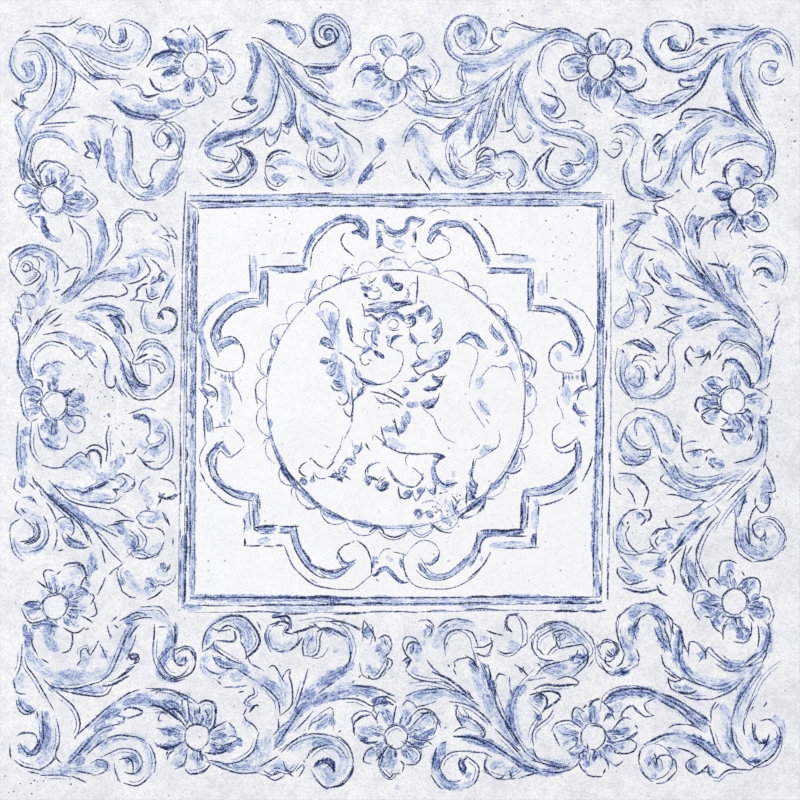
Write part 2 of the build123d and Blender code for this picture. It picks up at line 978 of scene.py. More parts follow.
line(MID, LINE, """
272,72 277,74
170,82 175,69 173,64
240,77 249,71 256,66
261,62 252,72
281,60 284,65 283,70
233,60 240,60 250,60
206,60 201,58
262,61 266,54
262,62 270,52
280,52 284,60
271,47 271,40 271,33
278,33 277,25 275,15
213,27 213,20
177,25 180,26 183,20 182,13 179,10
228,14 232,17 238,17 241,15
165,24 166,14 174,0
230,12 238,11
276,12 274,9 270,8
205,22 206,16 204,9 199,4 192,1 187,1
240,2 234,4 228,3
278,0 278,-5 275,-10
178,-6 190,-8 200,-13
176,-23 176,-17 179,-14 183,-14
200,-13 203,-18 204,-23
245,-24 252,-24
165,-31 169,-22 170,-20
177,-27 177,-22
187,-17 191,-23 196,-39
262,-31 264,-26
275,-20 275,-34 274,-40
213,-33 217,-31 222,-31
165,-44 169,-48 181,-48 186,-43
219,-51 225,-50
206,-50 211,-58 219,-63 228,-65
247,-61 256,-60
211,-58 219,-63 226,-66
228,-65 236,-64 244,-62
229,-66 236,-64 243,-63
""")
line(DEEP, FINE, """
172,80 170,72 164,68 160,62 162,56 168,54 174,58 176,66
168,-22 170,-30 176,-36 184,-37 190,-34
""")
line(DEEP, LINE, """
168,42 176,45 184,42 192,36
142,8 146,11 148.5,16
160,-58 161,-66.5 165,-70
""")
line(DARK, LINE, """
224,71 230,69
198,71 203,69 209,68
198,71 204,65 210,63
182,74 186,68 186,62 184,58
255,69 262,62
242,66 248,64
210,63 203,61 191,54
219,54 225,55 232,59 240,60
264,60 268,53 271,47
191,54 197,54 201,51
192,55 196,54 207,49
276,38 279,46 281,52
171,42 175,44 178,45
183,46 190,40 191,37
235,34 242,44 247,45 252,43
209,50 202,43 201,28
174,43 180,39 186,37
214,36 217,40 219,37
166,38 168,35
252,43 259,42 269,32 270,25
222,32 228,33 231,36
237,30 241,35
174,28 176,32 180,34 187,33
226,27 229,31 232,36
189,32 192,30
242,26 245,30 251,30
252,29 257,24 260,20
241,21 243,26
192,25 194,20 199,26
270,25 270,18 267,13
194,20 191,16
233,9 238,8
238,4 242,8 245,10
226,11 229,7 232,4
263,9 268,8 274,4
237,2 238,-4
175,-7 178,-6
227,-8 231,-6 239,-7
239,-5 243,-9 248,-11
252,-10 257,-10 260,-7
276,-10 278,-9
228,-13 226,-11 230,-9
226,-13 229,-17 234,-18
242,-19 245,-16 242,-14
270,-15 274,-18
262,-14 264,-20 264,-22
207,-18 211,-23
263,-25 260,-31
241,-24 243,-29 246,-32
271,-22 271,-31 269,-39 265,-43
170,-30 178,-37 187,-37
215,-39 225,-37 228,-38
229,-39 232,-37 234,-39
211,-28 211,-37 213,-44 215,-46
187,-37 187,-42 180,-42
166,-41 169,-46
230,-42 229,-46
265,-43 259,-45 251,-47
196,-43 201,-47
272,-51 274,-44
194,-43 196,-47 200,-53
165,-55 170,-55 176,-56
274,-49 278,-56 281,-66
255,-66 262,-61 269,-53
197,-57 195,-60 206,-67
275,-69 279,-69 281,-66 276,-53
255,-66 251,-70 246,-75
171,-67 174,-71 176,-77
201,-71 206,-71 219,-75
186,-69 185,-74 183,-79
""")
line(DARK, BOLD, """
250,60 255,57 260,54
220,54 227,57 233,60
232,36 232,30
214,36 214,31 218,26
260,20 262,15 262,10
231,0 224,2 222,-1
222,-1 221,-5 223,-8
241,-22 243,-23 249,-22
204,-23 206,-29
176,-56 184,-64 186,-69
""")

# Lower end: the coil at the edge, the flower and the arch that turns into the lower corner
tint(9, """
266,-92 278,-94
254,-92 256,-106 264,-114 276,-116 284,-108 286,-98
166,-88 164,-102 168,-114 178,-120
180,-122 192,-122 200,-114
164,-128 172,-132 182,-134
244,-196 258,-197 268,-190 276,-178 278,-168
264,-270 276,-266 284,-256 286,-244 280,-236
""")
tint(13, """
198,-101 206,-98
244,-127 250,-124
262,-138 266,-134
236,-136 240,-140
225,-155 236,-156
262,-160 272,-156
170,-162 180,-156 192,-158 200,-168
256,-172 260,-180
206,-180 208,-195 216,-206 230,-212 246,-212 268,-198
262,-214 254,-228 252,-244
""")
tint(16, """
256,-108 270,-114 282,-102
262,-250 272,-264 282,-254
""")
wash(LIGHT, 7, """
257,-66 254,-78 252,-88
174,-84 180,-88
214,-114 214,-124 218,-132
""")
wash(LIGHT, 9, """
276,-175 275,-185 272,-194
238,-196 246,-200 256,-201
270,-200 264,-208
262,-207 258,-213 254,-223
240,-217 248,-214
218,-222 226,-221
""")
wash(LIGHT, 10, """
220,-84 228,-83
269,-98 268,-94
262,-105 257,-95
195,-104 204,-104
255,-101 261,-110 270,-113
268,-115 275,-112
249,-127 244,-124
198,-132 190,-128
170,-132 178,-133
266,-137 263,-140
233,-144 229,-149
228,-158 222,-158
246,-167 250,-171
274,-172 275,-180
""")
wash(SOFT, 7, """
176,-168 174,-160 180,-157
186,-157 194,-160 198,-168
270,-170 276,-176
209,-172 209,-198 214,-204
""")
wash(MID, 8, """
251,-170 259,-174 257,-180
194,-174 197,-182 202,-188
209,-172 209,-182 209,-192
227,-187 226,-194
210,-196 214,-202 219,-205
283,-258 284,-251
""")
wash(MID, 9, """
178,-84 179,-89
208,-109 218,-97 224,-90
252,-104 256,-110
205,-110 200,-109
194,-125 198,-119
216,-120 219,-133 223,-137
238,-135 245,-134
216,-139 213,-131
225,-152 233,-154 239,-153
266,-158 272,-160 275,-155
231,-158 238,-160
197,-164 192,-160
234,-167 240,-167
255,-168 258,-176
177,-166 175,-173 177,-178
193,-170 195,-178
""")
wash(DEEP, 5, """
262,-154 272,-152
238,-156 242,-154
256,-170 262,-174
272,-254 276,-258
""")
wash(DEEP, 6, """
256,-138 260,-134
216,-132 220,-138 218,-142
254,-171 255,-176 252,-178
272,-258 275,-254
""")
wash(DEEP, 7, """
218,-136 221,-132
257,-139 260,-137
263,-149 269,-147
262,-157 267,-155 272,-157
269,-160 264,-158
251,-172 256,-172
""")
line(LIGHT, FINE, """
268,-56 244,-84 236,-98
284,-196 276,-202 268,-212 258,-236
""")
line(MID, FINE, """
250,-80 255,-108 262,-117 272,-120 283,-115 288,-105 287,-95 280,-88 270,-88 264,-94 265,-101
160,-96 160,-106 166,-114 176,-116 186,-114 194,-108
240,-84 228,-100 222,-116 222,-130 226,-140
163,-176 164,-164 170,-156 180,-152 192,-154 200,-162 203,-174 202,-186
174,-182 174,-172 178,-164 186,-160 192,-164 196,-174 198,-188
276,-168 278,-178 272,-190 262,-198 250,-200 238,-195 224,-182
272,-200 260,-212 252,-226 248,-242 249,-256 256,-268 268,-275 280,-270 286,-258 284,-246 277,-240
""")
line(MID, LINE, """
228,-76 222,-81 216,-85
240,-85 236,-79
162.6,-97 164,-93 167,-87
168,-95 165,-90
207,-93 213,-93
252,-88 251,-95 251,-101
169,-100 172,-94
203,-96 208,-98
272,-104 275,-109
219,-109 214,-117
180,-115 188,-114 195,-115
165,-117 171,-124 174,-127
165,-125 172,-127
247,-127 250,-131
245,-132 246,-127
217,-141 216,-131
240,-138 246,-139
230,-148 236,-149
222,-152 228,-152
261,-152 258,-158
276,-149 280,-161 277,-167
190,-160 196,-165
273,-166 277,-172 277,-180
191,-172 194,-179 203,-188
251,-181 257,-182 261,-180
222,-182 227,-187 229,-192
209,-170 209,-190 211,-200 222,-212
275,-189 271,-197
224,-196 227,-191
257,-200 263,-199 270,-196
237,-198 246,-203 255,-201 261,-195
200,-200 206,-206 211,-209
271,-199 261,-213 258,-218
230,-215 238,-217 246,-215 252,-211
272,-230 275,-226
239,-227 235,-232
259,-238 261,-231 265,-223
265,-229 262,-233
""")
line(DEEP, LINE, """
266,-244 266,-252 272,-257 276,-252
""")
line(DARK, LINE, """
219,-75 226,-75 229,-76
266,-73 266,-79
254,-86 257,-77 259,-71
267,-80 270,-84 274,-83 277,-77 276,-71
181,-82 187,-83
177,-82 172,-83 167,-88
262,-90 264,-83 267,-80
206,-88 212,-87 218,-85
170,-93 171,-91
229,-98 232,-93 237,-88
199,-90 200,-93 203,-96
265,-98 264,-94 267,-92
275,-89 280,-90 288,-100 289,-104
261,-91 261,-99 262,-106
191,-101 194,-97
265,-99 270,-105 274,-103 273,-98
193,-103 191,-106 193,-109
259,-101 261,-107 266,-110
251,-100 251,-107 253,-113
169,-100 170,-105 174,-111 179,-115
187,-104 188,-108 192,-112
222,-117 222,-112 227,-101
289,-109 286,-113
189,-112 191,-111
202,-121 205,-117 210,-112
254,-115 258,-118 263,-121
266,-121 273,-120 279,-119
210,-129 211,-122 214,-110
241,-121 247,-120 251,-122
188,-128 194,-125 199,-120
239,-131 239,-125 241,-121
222,-118 225,-127 232,-139
256,-128 258,-132
203,-124 206,-133 205,-137
163,-126.5 162.6,-129 165,-133 169,-136
210,-130 211,-134 212,-137
165,-132 169,-137 174,-138 184,-135
231,-139 231,-135 235,-133 239,-138
253,-140 257,-135 262,-133 268,-134 270,-139 269,-145
194,-138 196,-139
252,-142 257,-140
219,-152 220,-146 224,-143 230,-143 234,-147
256,-143 260,-147 261,-151
242,-155 241,-149 244,-144 248,-142
267,-149 271,-147 276,-149
178,-153 184,-152
231,-153 238,-155
188,-153 193,-155 197,-158
242,-155 243,-159
219,-154 221,-160 224,-164
180,-163 185,-160
162,-169 163,-163 172,-155.5
228,-162 233,-163
245,-162 250,-163 256,-163
261,-160 265,-166
200,-161 204,-165 204,-168
251,-163 252,-168
197,-165 199,-170
205,-167 210,-171
233,-165 235,-170 240,-174
242,-178 242,-170 246,-164
175,-178 176,-171 180,-163
204,-168 204,-174
198,-170 199,-175
242,-178 242,-172 245,-168
176,-169 175,-174 177,-179
204,-172 205,-176
260,-180 263,-175 263,-168
210,-170 212,-180
199,-173 201,-179
268,-170 269,-177 268,-184
276,-168 277,-176 274,-189
209,-171 213,-184 215,-188
201,-178 202,-183 203,-188
216,-191 217,-181 222,-182
229,-193 229,-188 232,-185 235,-189
260,-196 264,-192 267,-190
235,-189 246,-198 251,-199
196,-192 197,-197 199,-200
212,-208 224,-213 230,-215
234,-224 248,-218 256,-210
214,-222 220,-224 234,-224
250,-236 251,-230 258,-217
233,-239 233,-232 236,-227
271,-240 276,-239 280,-241
258,-250 257,-244 258,-239
264,-243 265,-253 269,-257
276,-251 274,-258 271,-262
262,-277 277,-268 283,-260 285,-252 284,-246
""")
line(DARK, BOLD, """
187,-83 188,-87 186,-90
180,-85 184,-89 181,-93
221,-96 227,-91 231,-88
189,-101 193,-97 201,-96
264,-94 265,-100 270,-104 273,-100
204,-114 209,-109 213,-103
211,-132 215,-140 219,-144
214,-140 217,-144
168,-141 180,-144 192,-142
193,-140 195,-144 199,-146
270,-257 274,-256 276,-252
""")

# Border, bottom: scrolls like those of the top, turned over, printed in the same blue.
# It has the most strokes of the four sides, with washes side by side along the thick stems.

# Left end: the corner coil, the long stem to the first flower and the curl above it
tint(9, """
-270,-277 -255,-278 -225,-276
-230,-276 -222,-272 -218,-278
-222,-240 -210,-234
-225,-262 -214,-254 -200,-252 -190,-258 -186,-268 -188,-280
-208,-268 -200,-266 -194,-272 -198,-282
-207,-165 -198,-160 -188,-160 -176,-165 -170,-175 -172,-185 -181,-204 -175,-210 -165,-210
-172,-272 -165,-270
-148,-192 -146,-202 -138,-207 -128,-203
-136,-246 -128,-248 -122,-252
-146,-184 -141,-170 -128,-163 -116,-168 -110,-180 -113,-190
-118,-240 -112,-244
-140,-272 -112,-277 -102,-270 -98,-246
-116,-226 -110,-231
-107,-262 -104,-254
-98,-172 -96,-182 -88,-186 -80,-182
-98,-276 -90,-272 -84,-276 -78,-274
-90,-206 -86,-214 -84,-222
""")
tint(13, """
-250,-274 -228,-252 -215,-243
-234,-246 -208,-227 -178,-224 -166,-228
-120,-203 -108,-208 -98,-216 -92,-226
""")
wash(LIGHT, 8, """
-256,-278 -246,-276
-233,-255 -240,-264 -248,-272
-228,-274 -223,-274
-222,-240 -228,-249
-228,-257 -218,-254
-205,-275 -202,-271
-206,-225 -196,-224 -188,-226
-179,-200 -170,-186 -169,-178
-167,-268 -165,-273
-160,-218 -160,-225
-155,-266 -158,-268
-146,-190 -145,-197
-143,-175 -145,-183
-134,-250 -128,-255
-128,-207 -118,-208
-125,-272 -117,-273 -110,-274
-114,-270 -108,-265 -107,-258
-96,-278 -88,-274
-98,-210 -88,-222 -87,-229
""")
wash(SOFT, 7, """
-245,-268 -236,-260 -226,-250
-228,-271 -220,-274
-208,-228 -196,-225 -172,-232 -164,-240
-172,-172 -173,-182 -181,-200
-126,-196 -118,-200 -112,-204
-126,-272 -116,-273 -110,-270
-121,-166 -115,-174 -114,-186
-101,-210 -93,-216 -88,-226
-92,-256 -80,-240 -75,-232
""")
wash(MID, 8, """
-243,-273 -236,-268
-223,-238 -216,-235 -209,-232
-178,-200 -178,-194 -173,-186
-181,-226 -174,-230 -166,-233
-180,-247 -172,-248 -164,-249
-180,-228 -171,-228 -164,-231
-169,-273 -163,-272
-167,-196 -162,-192
-165,-233 -162,-236
-154,-237 -149,-235
-140,-183 -138,-189
-134,-199 -127,-201
-138,-193 -131,-197 -122,-198
-124,-258 -118,-254
-93,-260 -89,-253 -84,-246
""")
wash(DEEP, 5, """
-206,-271 -200,-268 -196,-272
-188,-226 -176,-230 -167,-237
-180,-258 -170,-260 -163,-256
-164,-196 -160,-193
-140,-253 -130,-251
-140,-193 -133,-197 -126,-198
-143,-263 -132,-262 -122,-257
-96,-163 -90,-161 -86,-166
""")
wash(DEEP, 6, """
-153,-232 -150,-236
-151,-268 -151,-271
-144,-240 -144,-244
-140,-263 -130,-262 -124,-261
""")
wash(DEEP, 7, """
-177,-228 -170,-228 -165,-231
""")
line(LIGHT, FINE, """
-99,-170 -100,-178 -96,-186 -88,-189 -80,-186 -76,-178 -78,-172
""")
line(MID, LINE, """
-279,-278 -270,-280
-231,-272 -226,-269 -220,-271 -219,-275 -222,-279 -229,-281
-214,-273 -213,-279 -210,-285
-202,-238 -209,-237 -212,-236
-223,-267 -208,-261 -196,-264 -193,-274 -197,-279
-187,-259 -184,-265 -183,-272 -184,-278
-184,-172 -185,-191 -183,-198
-180,-236 -181,-240 -179,-240
-182,-234 -176,-233 -171,-235
-170,-184 -175,-189 -180,-195
-181,-246 -175,-247 -167,-249
-163,-222 -163,-230 -160,-238
-162,-275 -160,-270
-146,-200 -141,-204 -136,-205
-142,-260 -135,-262
-128,-242 -124,-246 -123,-249
-131,-215 -124,-215 -116,-214
-124,-168 -120,-173 -119,-180
-117,-236 -115,-231
-120,-203 -115,-206 -110,-209
-104,-172 -107,-166
-106,-213 -101,-215
-97,-188 -100,-182 -101,-175 -98,-169
-89,-166 -96,-170
-94,-250 -88,-244 -83,-240
-84,-188 -90,-188
""")
line(DEEP, FINE, """
-104,-280 -98,-282 -92,-278 -86,-280 -80,-278 -76,-272
""")
line(DEEP, LINE, """
-268,-281 -254,-281 -248,-282
-230,-252 -223,-246 -208,-242
-183,-258 -181,-260
-181,-235 -177,-234 -172,-235
-181,-194 -174,-205 -168,-207
-182,-200 -178,-206 -171,-210 -165,-210
-181,-204 -176,-209 -169,-211 -162,-209
-170,-191 -169,-186
-169,-170 -167,-174 -168,-182 -170,-185
-170,-208 -163,-206 -159,-201
-160,-263 -160,-268 -163,-274 -168,-276
-159,-224 -158,-238 -160,-243
-149,-266 -146,-266 -144,-270
-148,-186 -147,-178 -144,-172 -140,-168
-146,-232 -143,-238
-147,-188 -142,-185 -139,-181
-140,-192 -137,-198 -130,-201 -123,-201
-139,-182 -139,-186 -126,-195 -120,-197
-139,-258 -133,-259 -122,-255
-136,-174 -132,-170 -127,-169 -122,-172
-127,-252 -123,-252 -119,-255
-94,-261 -83,-245 -74,-231
""")
line(DEEP, BOLD, """
-210,-241 -207,-241 -207,-238
-206,-232 -202,-230 -193,-233 -196,-236 -203,-238
-168,-168 -167,-174 -169,-181
""")
line(DARK, LINE, """
-270,-277 -263,-273 -258,-268
-254,-271 -258,-267 -256,-258
-245,-282 -240,-284 -236,-286
-247,-271 -241,-265 -230,-252
-241,-278 -236,-279 -231,-280
-243,-252 -221,-232 -214,-227
-234,-265 -230,-261 -222,-255
-212,-284 -210,-285
-218,-253 -211,-251 -199,-252
-211,-225 -204,-220 -196,-217
-209,-269 -204,-268 -200,-272 -200,-278
-205,-279 -201,-280 -196,-278 -193,-272
-206,-287 -199,-289 -193,-287 -187,-281
-198,-252 -191,-255
-183,-257 -179,-260 -174,-262
-189,-216 -172,-217 -165,-219
-175,-266 -174,-263
-186,-218 -178,-216 -168,-219 -158,-226
-174,-268 -173,-265 -170,-263
-170,-191 -169,-195 -166,-198 -163,-198
-181,-218 -172,-217 -157,-223 -152,-227
-169,-190 -168,-197 -163,-199 -159,-195
-160,-246 -164,-240 -169,-236
-167,-190 -162,-186 -156,-188 -153,-196 -156,-204 -164,-208 -173,-209 -180,-204
-160,-192 -161,-197
-168,-187 -163,-185 -157,-185 -153,-190 -153,-197
-160,-257 -155,-262 -150,-263
-160,-247 -157,-244 -151,-243 -145,-245
-150,-229 -150,-235
-143,-250 -140,-246 -131,-241
-129,-273 -136,-271 -143,-270
-137,-210 -134,-213
-134,-207 -136,-209
-140,-171 -135,-173 -128,-172
-144,-271 -123,-279 -107,-279
-121,-219 -117,-218
-119,-182 -116,-186 -115,-192
-128,-272 -121,-271 -110,-263 -106,-250
-110,-216 -109,-220 -113,-222 -117,-227 -113,-229
-107,-247 -110,-243 -115,-240 -117,-236
-113,-194 -112,-197 -103,-202
-104,-274 -97,-270 -92,-267
-101,-278 -96,-281 -91,-279
-102,-214 -92,-224 -90,-235
-100,-281 -94,-285 -88,-282
-95,-186 -91,-187
-97,-200 -94,-199 -88,-209
-91,-240 -91,-246 -93,-249
-87,-272 -85,-277 -81,-278
-88,-208 -85,-203 -82,-202 -83,-207 -81,-213 -81,-228 -88,-235
-85,-278 -80,-282
-88,-263 -82,-257 -71,-250
""")
line(DARK, BOLD, """
-186,-229 -179,-230 -165,-240
-182,-258 -177,-260 -170,-260 -165,-257
-169,-170 -168,-175 -169,-182
-160,-241 -163,-236 -169,-231 -175,-233
-160,-277 -157,-280 -147,-278 -143,-274
-150,-227 -146,-225 -141,-226 -138,-230 -139,-243 -143,-248
-145,-264 -138,-265 -130,-263
-124,-174 -123,-178 -126,-181 -136,-180
-140,-168 -129,-162 -117,-162.6 -109,-170
-113,-166 -108,-172 -105,-179 -107,-186 -115,-193
-112,-233 -109,-229 -107,-229
-96,-168 -90,-166 -84,-167 -83,-171 -86,-174 -81,-175
-94,-163 -85,-161.6 -82,-166 -81.6,-170
-82,-187 -77,-183 -74,-179
""")

# Middle: the forked stem on the left of the middle flower, and the sheaf of blades on its right
tint(9, """
-66,-172 -70,-182 -64,-188
-64,-246 -56,-242 -50,-236
-62,-272 -56,-282 -48,-284
-55,-176 -46,-172 -38,-180 -38,-192
-26,-170 -22,-176
-24,-200 -18,-206
-14,-178 -10,-186 -16,-192
4,-224 20,-219 36,-219 60,-232
34,-256 27,-266 27,-278 34,-288 46,-290 56,-284
44,-236 50,-244 60,-246
""")
tint(13, """
-76,-226 -62,-214 -40,-200
-82,-262 -70,-256 -56,-256 -46,-262 -42,-272 -46,-282
-82,-236 -70,-226 -40,-216 -16,-222
-32,-246 -24,-248
-26,-266 -20,-262
-18,-226 -10,-230
-14,-272 -6,-270
12,-186 14,-196
16,-238 24,-242
26,-186 32,-174 42,-167 56,-168
56,-206 68,-230 88,-258
70,-275 78,-272
""")
tint(16, """
-60,-258 -48,-264 -46,-280
""")
wash(LIGHT, 5, """
-62,-240 -56,-236
-26,-202 -18,-204
44,-234 48,-242
""")
wash(LIGHT, 8, """
-66,-226 -58,-223 -50,-221
-66,-258 -57,-257 -50,-257
-61,-245 -54,-243
""")
wash(LIGHT, 9, """
-56,-275 -50,-283 -56,-286
-57,-240 -51,-236
-28,-172 -22,-178
-30,-248 -20,-250
-24,-263 -19,-264
-21,-203 -15,-203
-15,-194 -11,-196
-14,-268 -11,-275
-14,-233 -7,-237
-12,-262 -8,-270 -6,-277
-3,-292 -1,-289
2,-238 6,-233
10,-200 13,-204
17,-180 18,-184
10,-222 20,-221 32,-220
40,-220 50,-223
60,-178 66,-179
64,-219 66,-228
68,-276 74,-271
""")
wash(SOFT, 7, """
-71,-179 -66,-177
-62,-246 -58,-243
-52,-238 -50,-244
-50,-188 -46,-188
-42,-217 -30,-218 -20,-222
18,-170 22,-174 18,-178
34,-257 28,-265 26,-274
30,-282 36,-288 44,-290
60,-199 64,-208 70,-228
""")
wash(MID, 8, """
-78,-237 -72,-230 -66,-228
-75,-224 -69,-220 -63,-219
-67,-179 -64,-179
-66,-229 -58,-224 -34,-218
-62,-214 -46,-205 -34,-197
-32,-218 -24,-219 -17,-219
-25,-200 -22,-200
-18,-184 -14,-187
8,-184 12,-186 13,-190
18,-174 22,-171
30,-280 33,-286
29,-266 34,-261
50,-283 53,-279
46,-252 55,-254 65,-258
52,-196 56,-201 59,-205
60,-255 69,-259 76,-264
68,-215 69,-224
""")
wash(DEEP, 5, """
-64,-275 -58,-270 -51,-272 -50,-278
-32,-252 -24,-254
-22,-226 -16,-224 -10,-224
-18,-264 -12,-268
4,-197 8,-196
10,-183 8,-190
8,-258 18,-258
47,-268 46,-274 49,-280
52,-195 57,-203
""")
wash(DEEP, 6, """
-15,-226 -9,-227
14,-252 20,-251 26,-246
27,-264 27,-271 28,-278
46,-275 48,-273
66,-205 68,-213 70,-222
""")
line(MID, FINE, """
-90,-262 -78,-254 -64,-250 -50,-252
-66,-178 -70,-186 -66,-193 -58,-192 -54,-186
-68,-246 -66,-240 -52,-230 -50,-236 -50,-246
-70,-268 -64,-262 -56,-258 -46,-260 -40,-268
-75,-165 -55,-163 -40,-170 -33,-185 -36,-198
8,-258 16,-262 14,-270 8,-272
10,-258 20,-256 26,-252
8,-212 20,-211 34,-214 44,-220
34,-190 33,-182 38,-174 46,-173 52,-178 54,-186
42,-228 46,-236 56,-240 62,-246 60,-252
58,-192 78,-240 88,-258
""")
line(MID, LINE, """
-79,-248 -70,-239 -66,-234
-67,-250 -58,-250 -50,-252
-50,-252 -45,-253
-27,-166 -28,-174 -25,-178
-20,-231 -17,-236
-16,-234 -18,-238 -17,-241
-15,-262 -13,-268 -15,-274
-12,-192 -6,-195 -7,-200 -10,-202
-8,-178 -6,-183 -8,-189
-4,-222 -8,-219
-4,-263 -2,-268
4,-222 10,-219
2,-229 5,-225 10,-227 12,-230
2,-184 3,-179 7,-177 12,-179 14,-182
7,-259 14,-261 20,-259
12,-230 20,-228 26,-226
22,-168 26,-172
40,-201 42,-206
36,-217 45,-219 58,-228
45,-263 52,-263 60,-264
38,-226 46,-227 54,-230 62,-236 67,-242
54,-186 56,-192 57,-197
48,-232 52,-237 63,-246 63,-251 59,-254
54,-264 62,-264 68,-267
61,-197 64,-202 65,-210
62,-197 66,-201
""")
line(DEEP, FINE, """
-50,-252 -40,-258 -35,-268 -38,-280 -46,-288 -54,-290 -62,-286 -66,-278
-32,-250 -24,-256 -16,-258
-28,-180 -26,-172 -22,-168 -20,-174 -22,-182
-30,-198 -28,-206 -20,-209 -12,-206 -10,-198 -12,-190
-14,-264 -16,-274 -12,-282 -6,-284 -1,-278
""")
line(DEEP, LINE, """
-68,-246 -66,-242 -61,-240 -56,-236
-60,-219 -55,-215 -50,-212
-34,-246 -36,-238 -30,-233 -22,-234 -18,-240
-20,-232 -18,-224 -10,-222 -4,-226
8,-238 14,-232 22,-232 28,-238 27,-246
15,-165.4 19,-164.5 23,-166 25,-169
""")
line(DARK, LINE, """
-77,-277 -73,-273 -72,-276 -75,-281
-69,-202 -76,-225 -79,-232
-72,-191 -73,-185 -72,-180
-71,-271 -73,-270
-69,-267 -67,-263 -63,-260
-67,-169 -62,-170 -64,-168
-72,-191 -67,-192 -62,-190 -60,-184 -60,-178 -58,-174
-67,-264 -62,-260 -57,-259
-66,-250 -60,-250 -54,-251
-64,-281 -60,-287 -55,-291 -51,-290
-64,-274 -61,-270 -54,-272 -50,-277
-63,-169 -58,-172 -50,-173
-63,-274 -60,-270 -57,-271 -53,-270 -49,-277
-58,-272 -54,-268 -50,-272 -50,-278
-46,-249 -44,-247
-54,-166 -43,-166 -30.5,-171
-46,-252 -41,-256 -37,-262 -35,-270
-42,-200 -39,-198 -37,-192 -38,-184
-46,-166 -38,-168 -31,-172
-36,-212 -34,-210
-34,-250 -35,-244 -33,-240
-45,-224 -32,-224 -20,-230
-31,-208 -29,-206
-20,-260 -24,-262 -27,-267 -27,-271 -23,-272
-24,-206 -22,-209
-26,-166 -19,-177 -19,-180
-10,-193 -9,-197 -16,-208 -20,-209
-17,-269 -13,-265 -10,-260
-15,-178 -11,-176 -8,-178
-12,-180 -10,-184
-8,-189 -12,-193
-14,-217 -9,-220 -6,-221
-11,-252 -10,-257 -6,-260
-15,-274 -14,-277 -8,-283 -5,-280 -1,-280
-12,-251 -10,-247 -5,-244 0,-244 4,-248
-5,-241 -4,-234 -3,-230
2,-277 3,-273 1,-271
2,-184 4,-190 8,-194
2,-256 5,-258 4,-255 8,-257
5,-187 6,-183 10,-181 13,-182
11,-260 15,-264 15,-269 11,-273 6,-273
10,-247 14,-247
5,-203 10,-208 22,-211 32,-211
13,-254 18,-255 23,-254
9,-244 18,-235 23,-234 28,-239 30,-244
20,-255 24,-258
10,-219 18,-217 33,-216
20,-169 24,-172 22,-176
17,-235 24,-235 30,-241
24,-275 25,-268 27,-262
21,-196 25,-201 30,-205
25,-251 27,-247
24,-282 27,-287 31,-291
30,-275 32,-281 36,-285
31,-257 35,-256
33,-246 35,-245
32,-171 36,-168
29,-170 34,-166 40,-164
36,-181 34,-184
30,-275 32,-269 38,-264 45,-263
36,-198 37,-200
32,-211 37,-213 41,-216
34,-186 33,-181 36,-175 41,-172 47,-172
36,-285 41,-286 44,-285
41,-197 41,-201
47,-245 42,-236 43,-230
41,-248 44,-246 48,-245
41,-196 44,-194 50,-193
45,-269 44,-274 47,-280
50,-217 54,-223
47,-172 54,-174 58,-183
50,-192 55,-195 58,-201
50,-290 56,-287 59,-279 58,-273 50,-267
50,-237 57,-241 64,-250 61,-254
54,-229 66,-239 68,-243
58,-190 63,-192 67,-191
57,-185 63,-185 69,-181
59,-190 63,-192 67,-189
65,-268 63,-273 66,-278
65,-270 63,-274 65,-279 67,-280
66,-199 68,-207 67,-209
65,-279 69,-281
68,-179 69,-184 67,-188
66,-173 71,-175 76,-176
72,-214 71,-221 72,-229
70,-282 74,-284 78,-281
78,-206 74,-205 72,-209
""")
line(DARK, BOLD, """
-79,-174 -71,-172 -64,-169
-61,-173 -57,-171 -50,-172 -41,-177
-52,-290 -46,-289 -42,-287
-41,-286 -37,-281 -35,-275
-32,-240 -29,-237 -24,-236
-34,-214 -21,-215 -16,-217
-29,-255 -24,-257 -18,-256
-20,-229 -11,-226 -6,-228
3,-195 6,-193 8,-195 5,-200
25,-204 38,-210 54,-223
45,-275 48,-278 49,-275 47,-271 50,-268
41,-252 55,-253 67,-259
""")

# Right end: the arching leaf over the last flower, and the scroll in the corner
tint(9, """
56,-253 72,-260 100,-276 114,-279 126,-276
104,-268 116,-272 128,-270
140,-190 136,-200 124,-206
160,-205 170,-203
188,-262 186,-274 192,-282
200,-262 210,-264
210,-216 220,-217
""")
tint(13, """
88,-214 84,-226 84,-240 90,-254
104,-196 116,-203 128,-204
160,-246 170,-248
160,-258 172,-256
166,-176 170,-188 176,-196
156,-222 168,-219 194,-222 230,-248
196,-252 222,-256 246,-270
240,-228 246,-240 248,-256 254,-268
""")
tint(16, """
112,-172 126,-172 138,-184
186,-266 196,-278
""")
wash(LIGHT, 9, """
74,-240 82,-250 88,-259
79,-281 84,-276
81,-187 89,-182
90,-264 100,-270
100,-272 96,-264 94,-268
98,-222 99,-227
107,-204 117,-200 126,-200
108,-276 117,-277 126,-275
119,-177 124,-179
134,-240 129,-237
141,-229 146,-234
148,-265 143,-267
160,-233 166,-227
160,-260 168,-261
171,-180 173,-187
172,-195 174,-190
185,-273 188,-267
192,-281 188,-281
202,-270 205,-275
205,-248 213,-250
208,-228 214,-231
212,-214 217,-218
240,-267 250,-271
243,-250 247,-258
""")
wash(SOFT, 7, """
92,-214 85,-222 82,-244
84,-278 88,-274
84,-268 104,-278 118,-279
118,-246 128,-250
122,-258 126,-256
162,-204 172,-203
200,-224 210,-229
214,-234 222,-238 230,-243
212,-252 222,-256 238,-268
""")
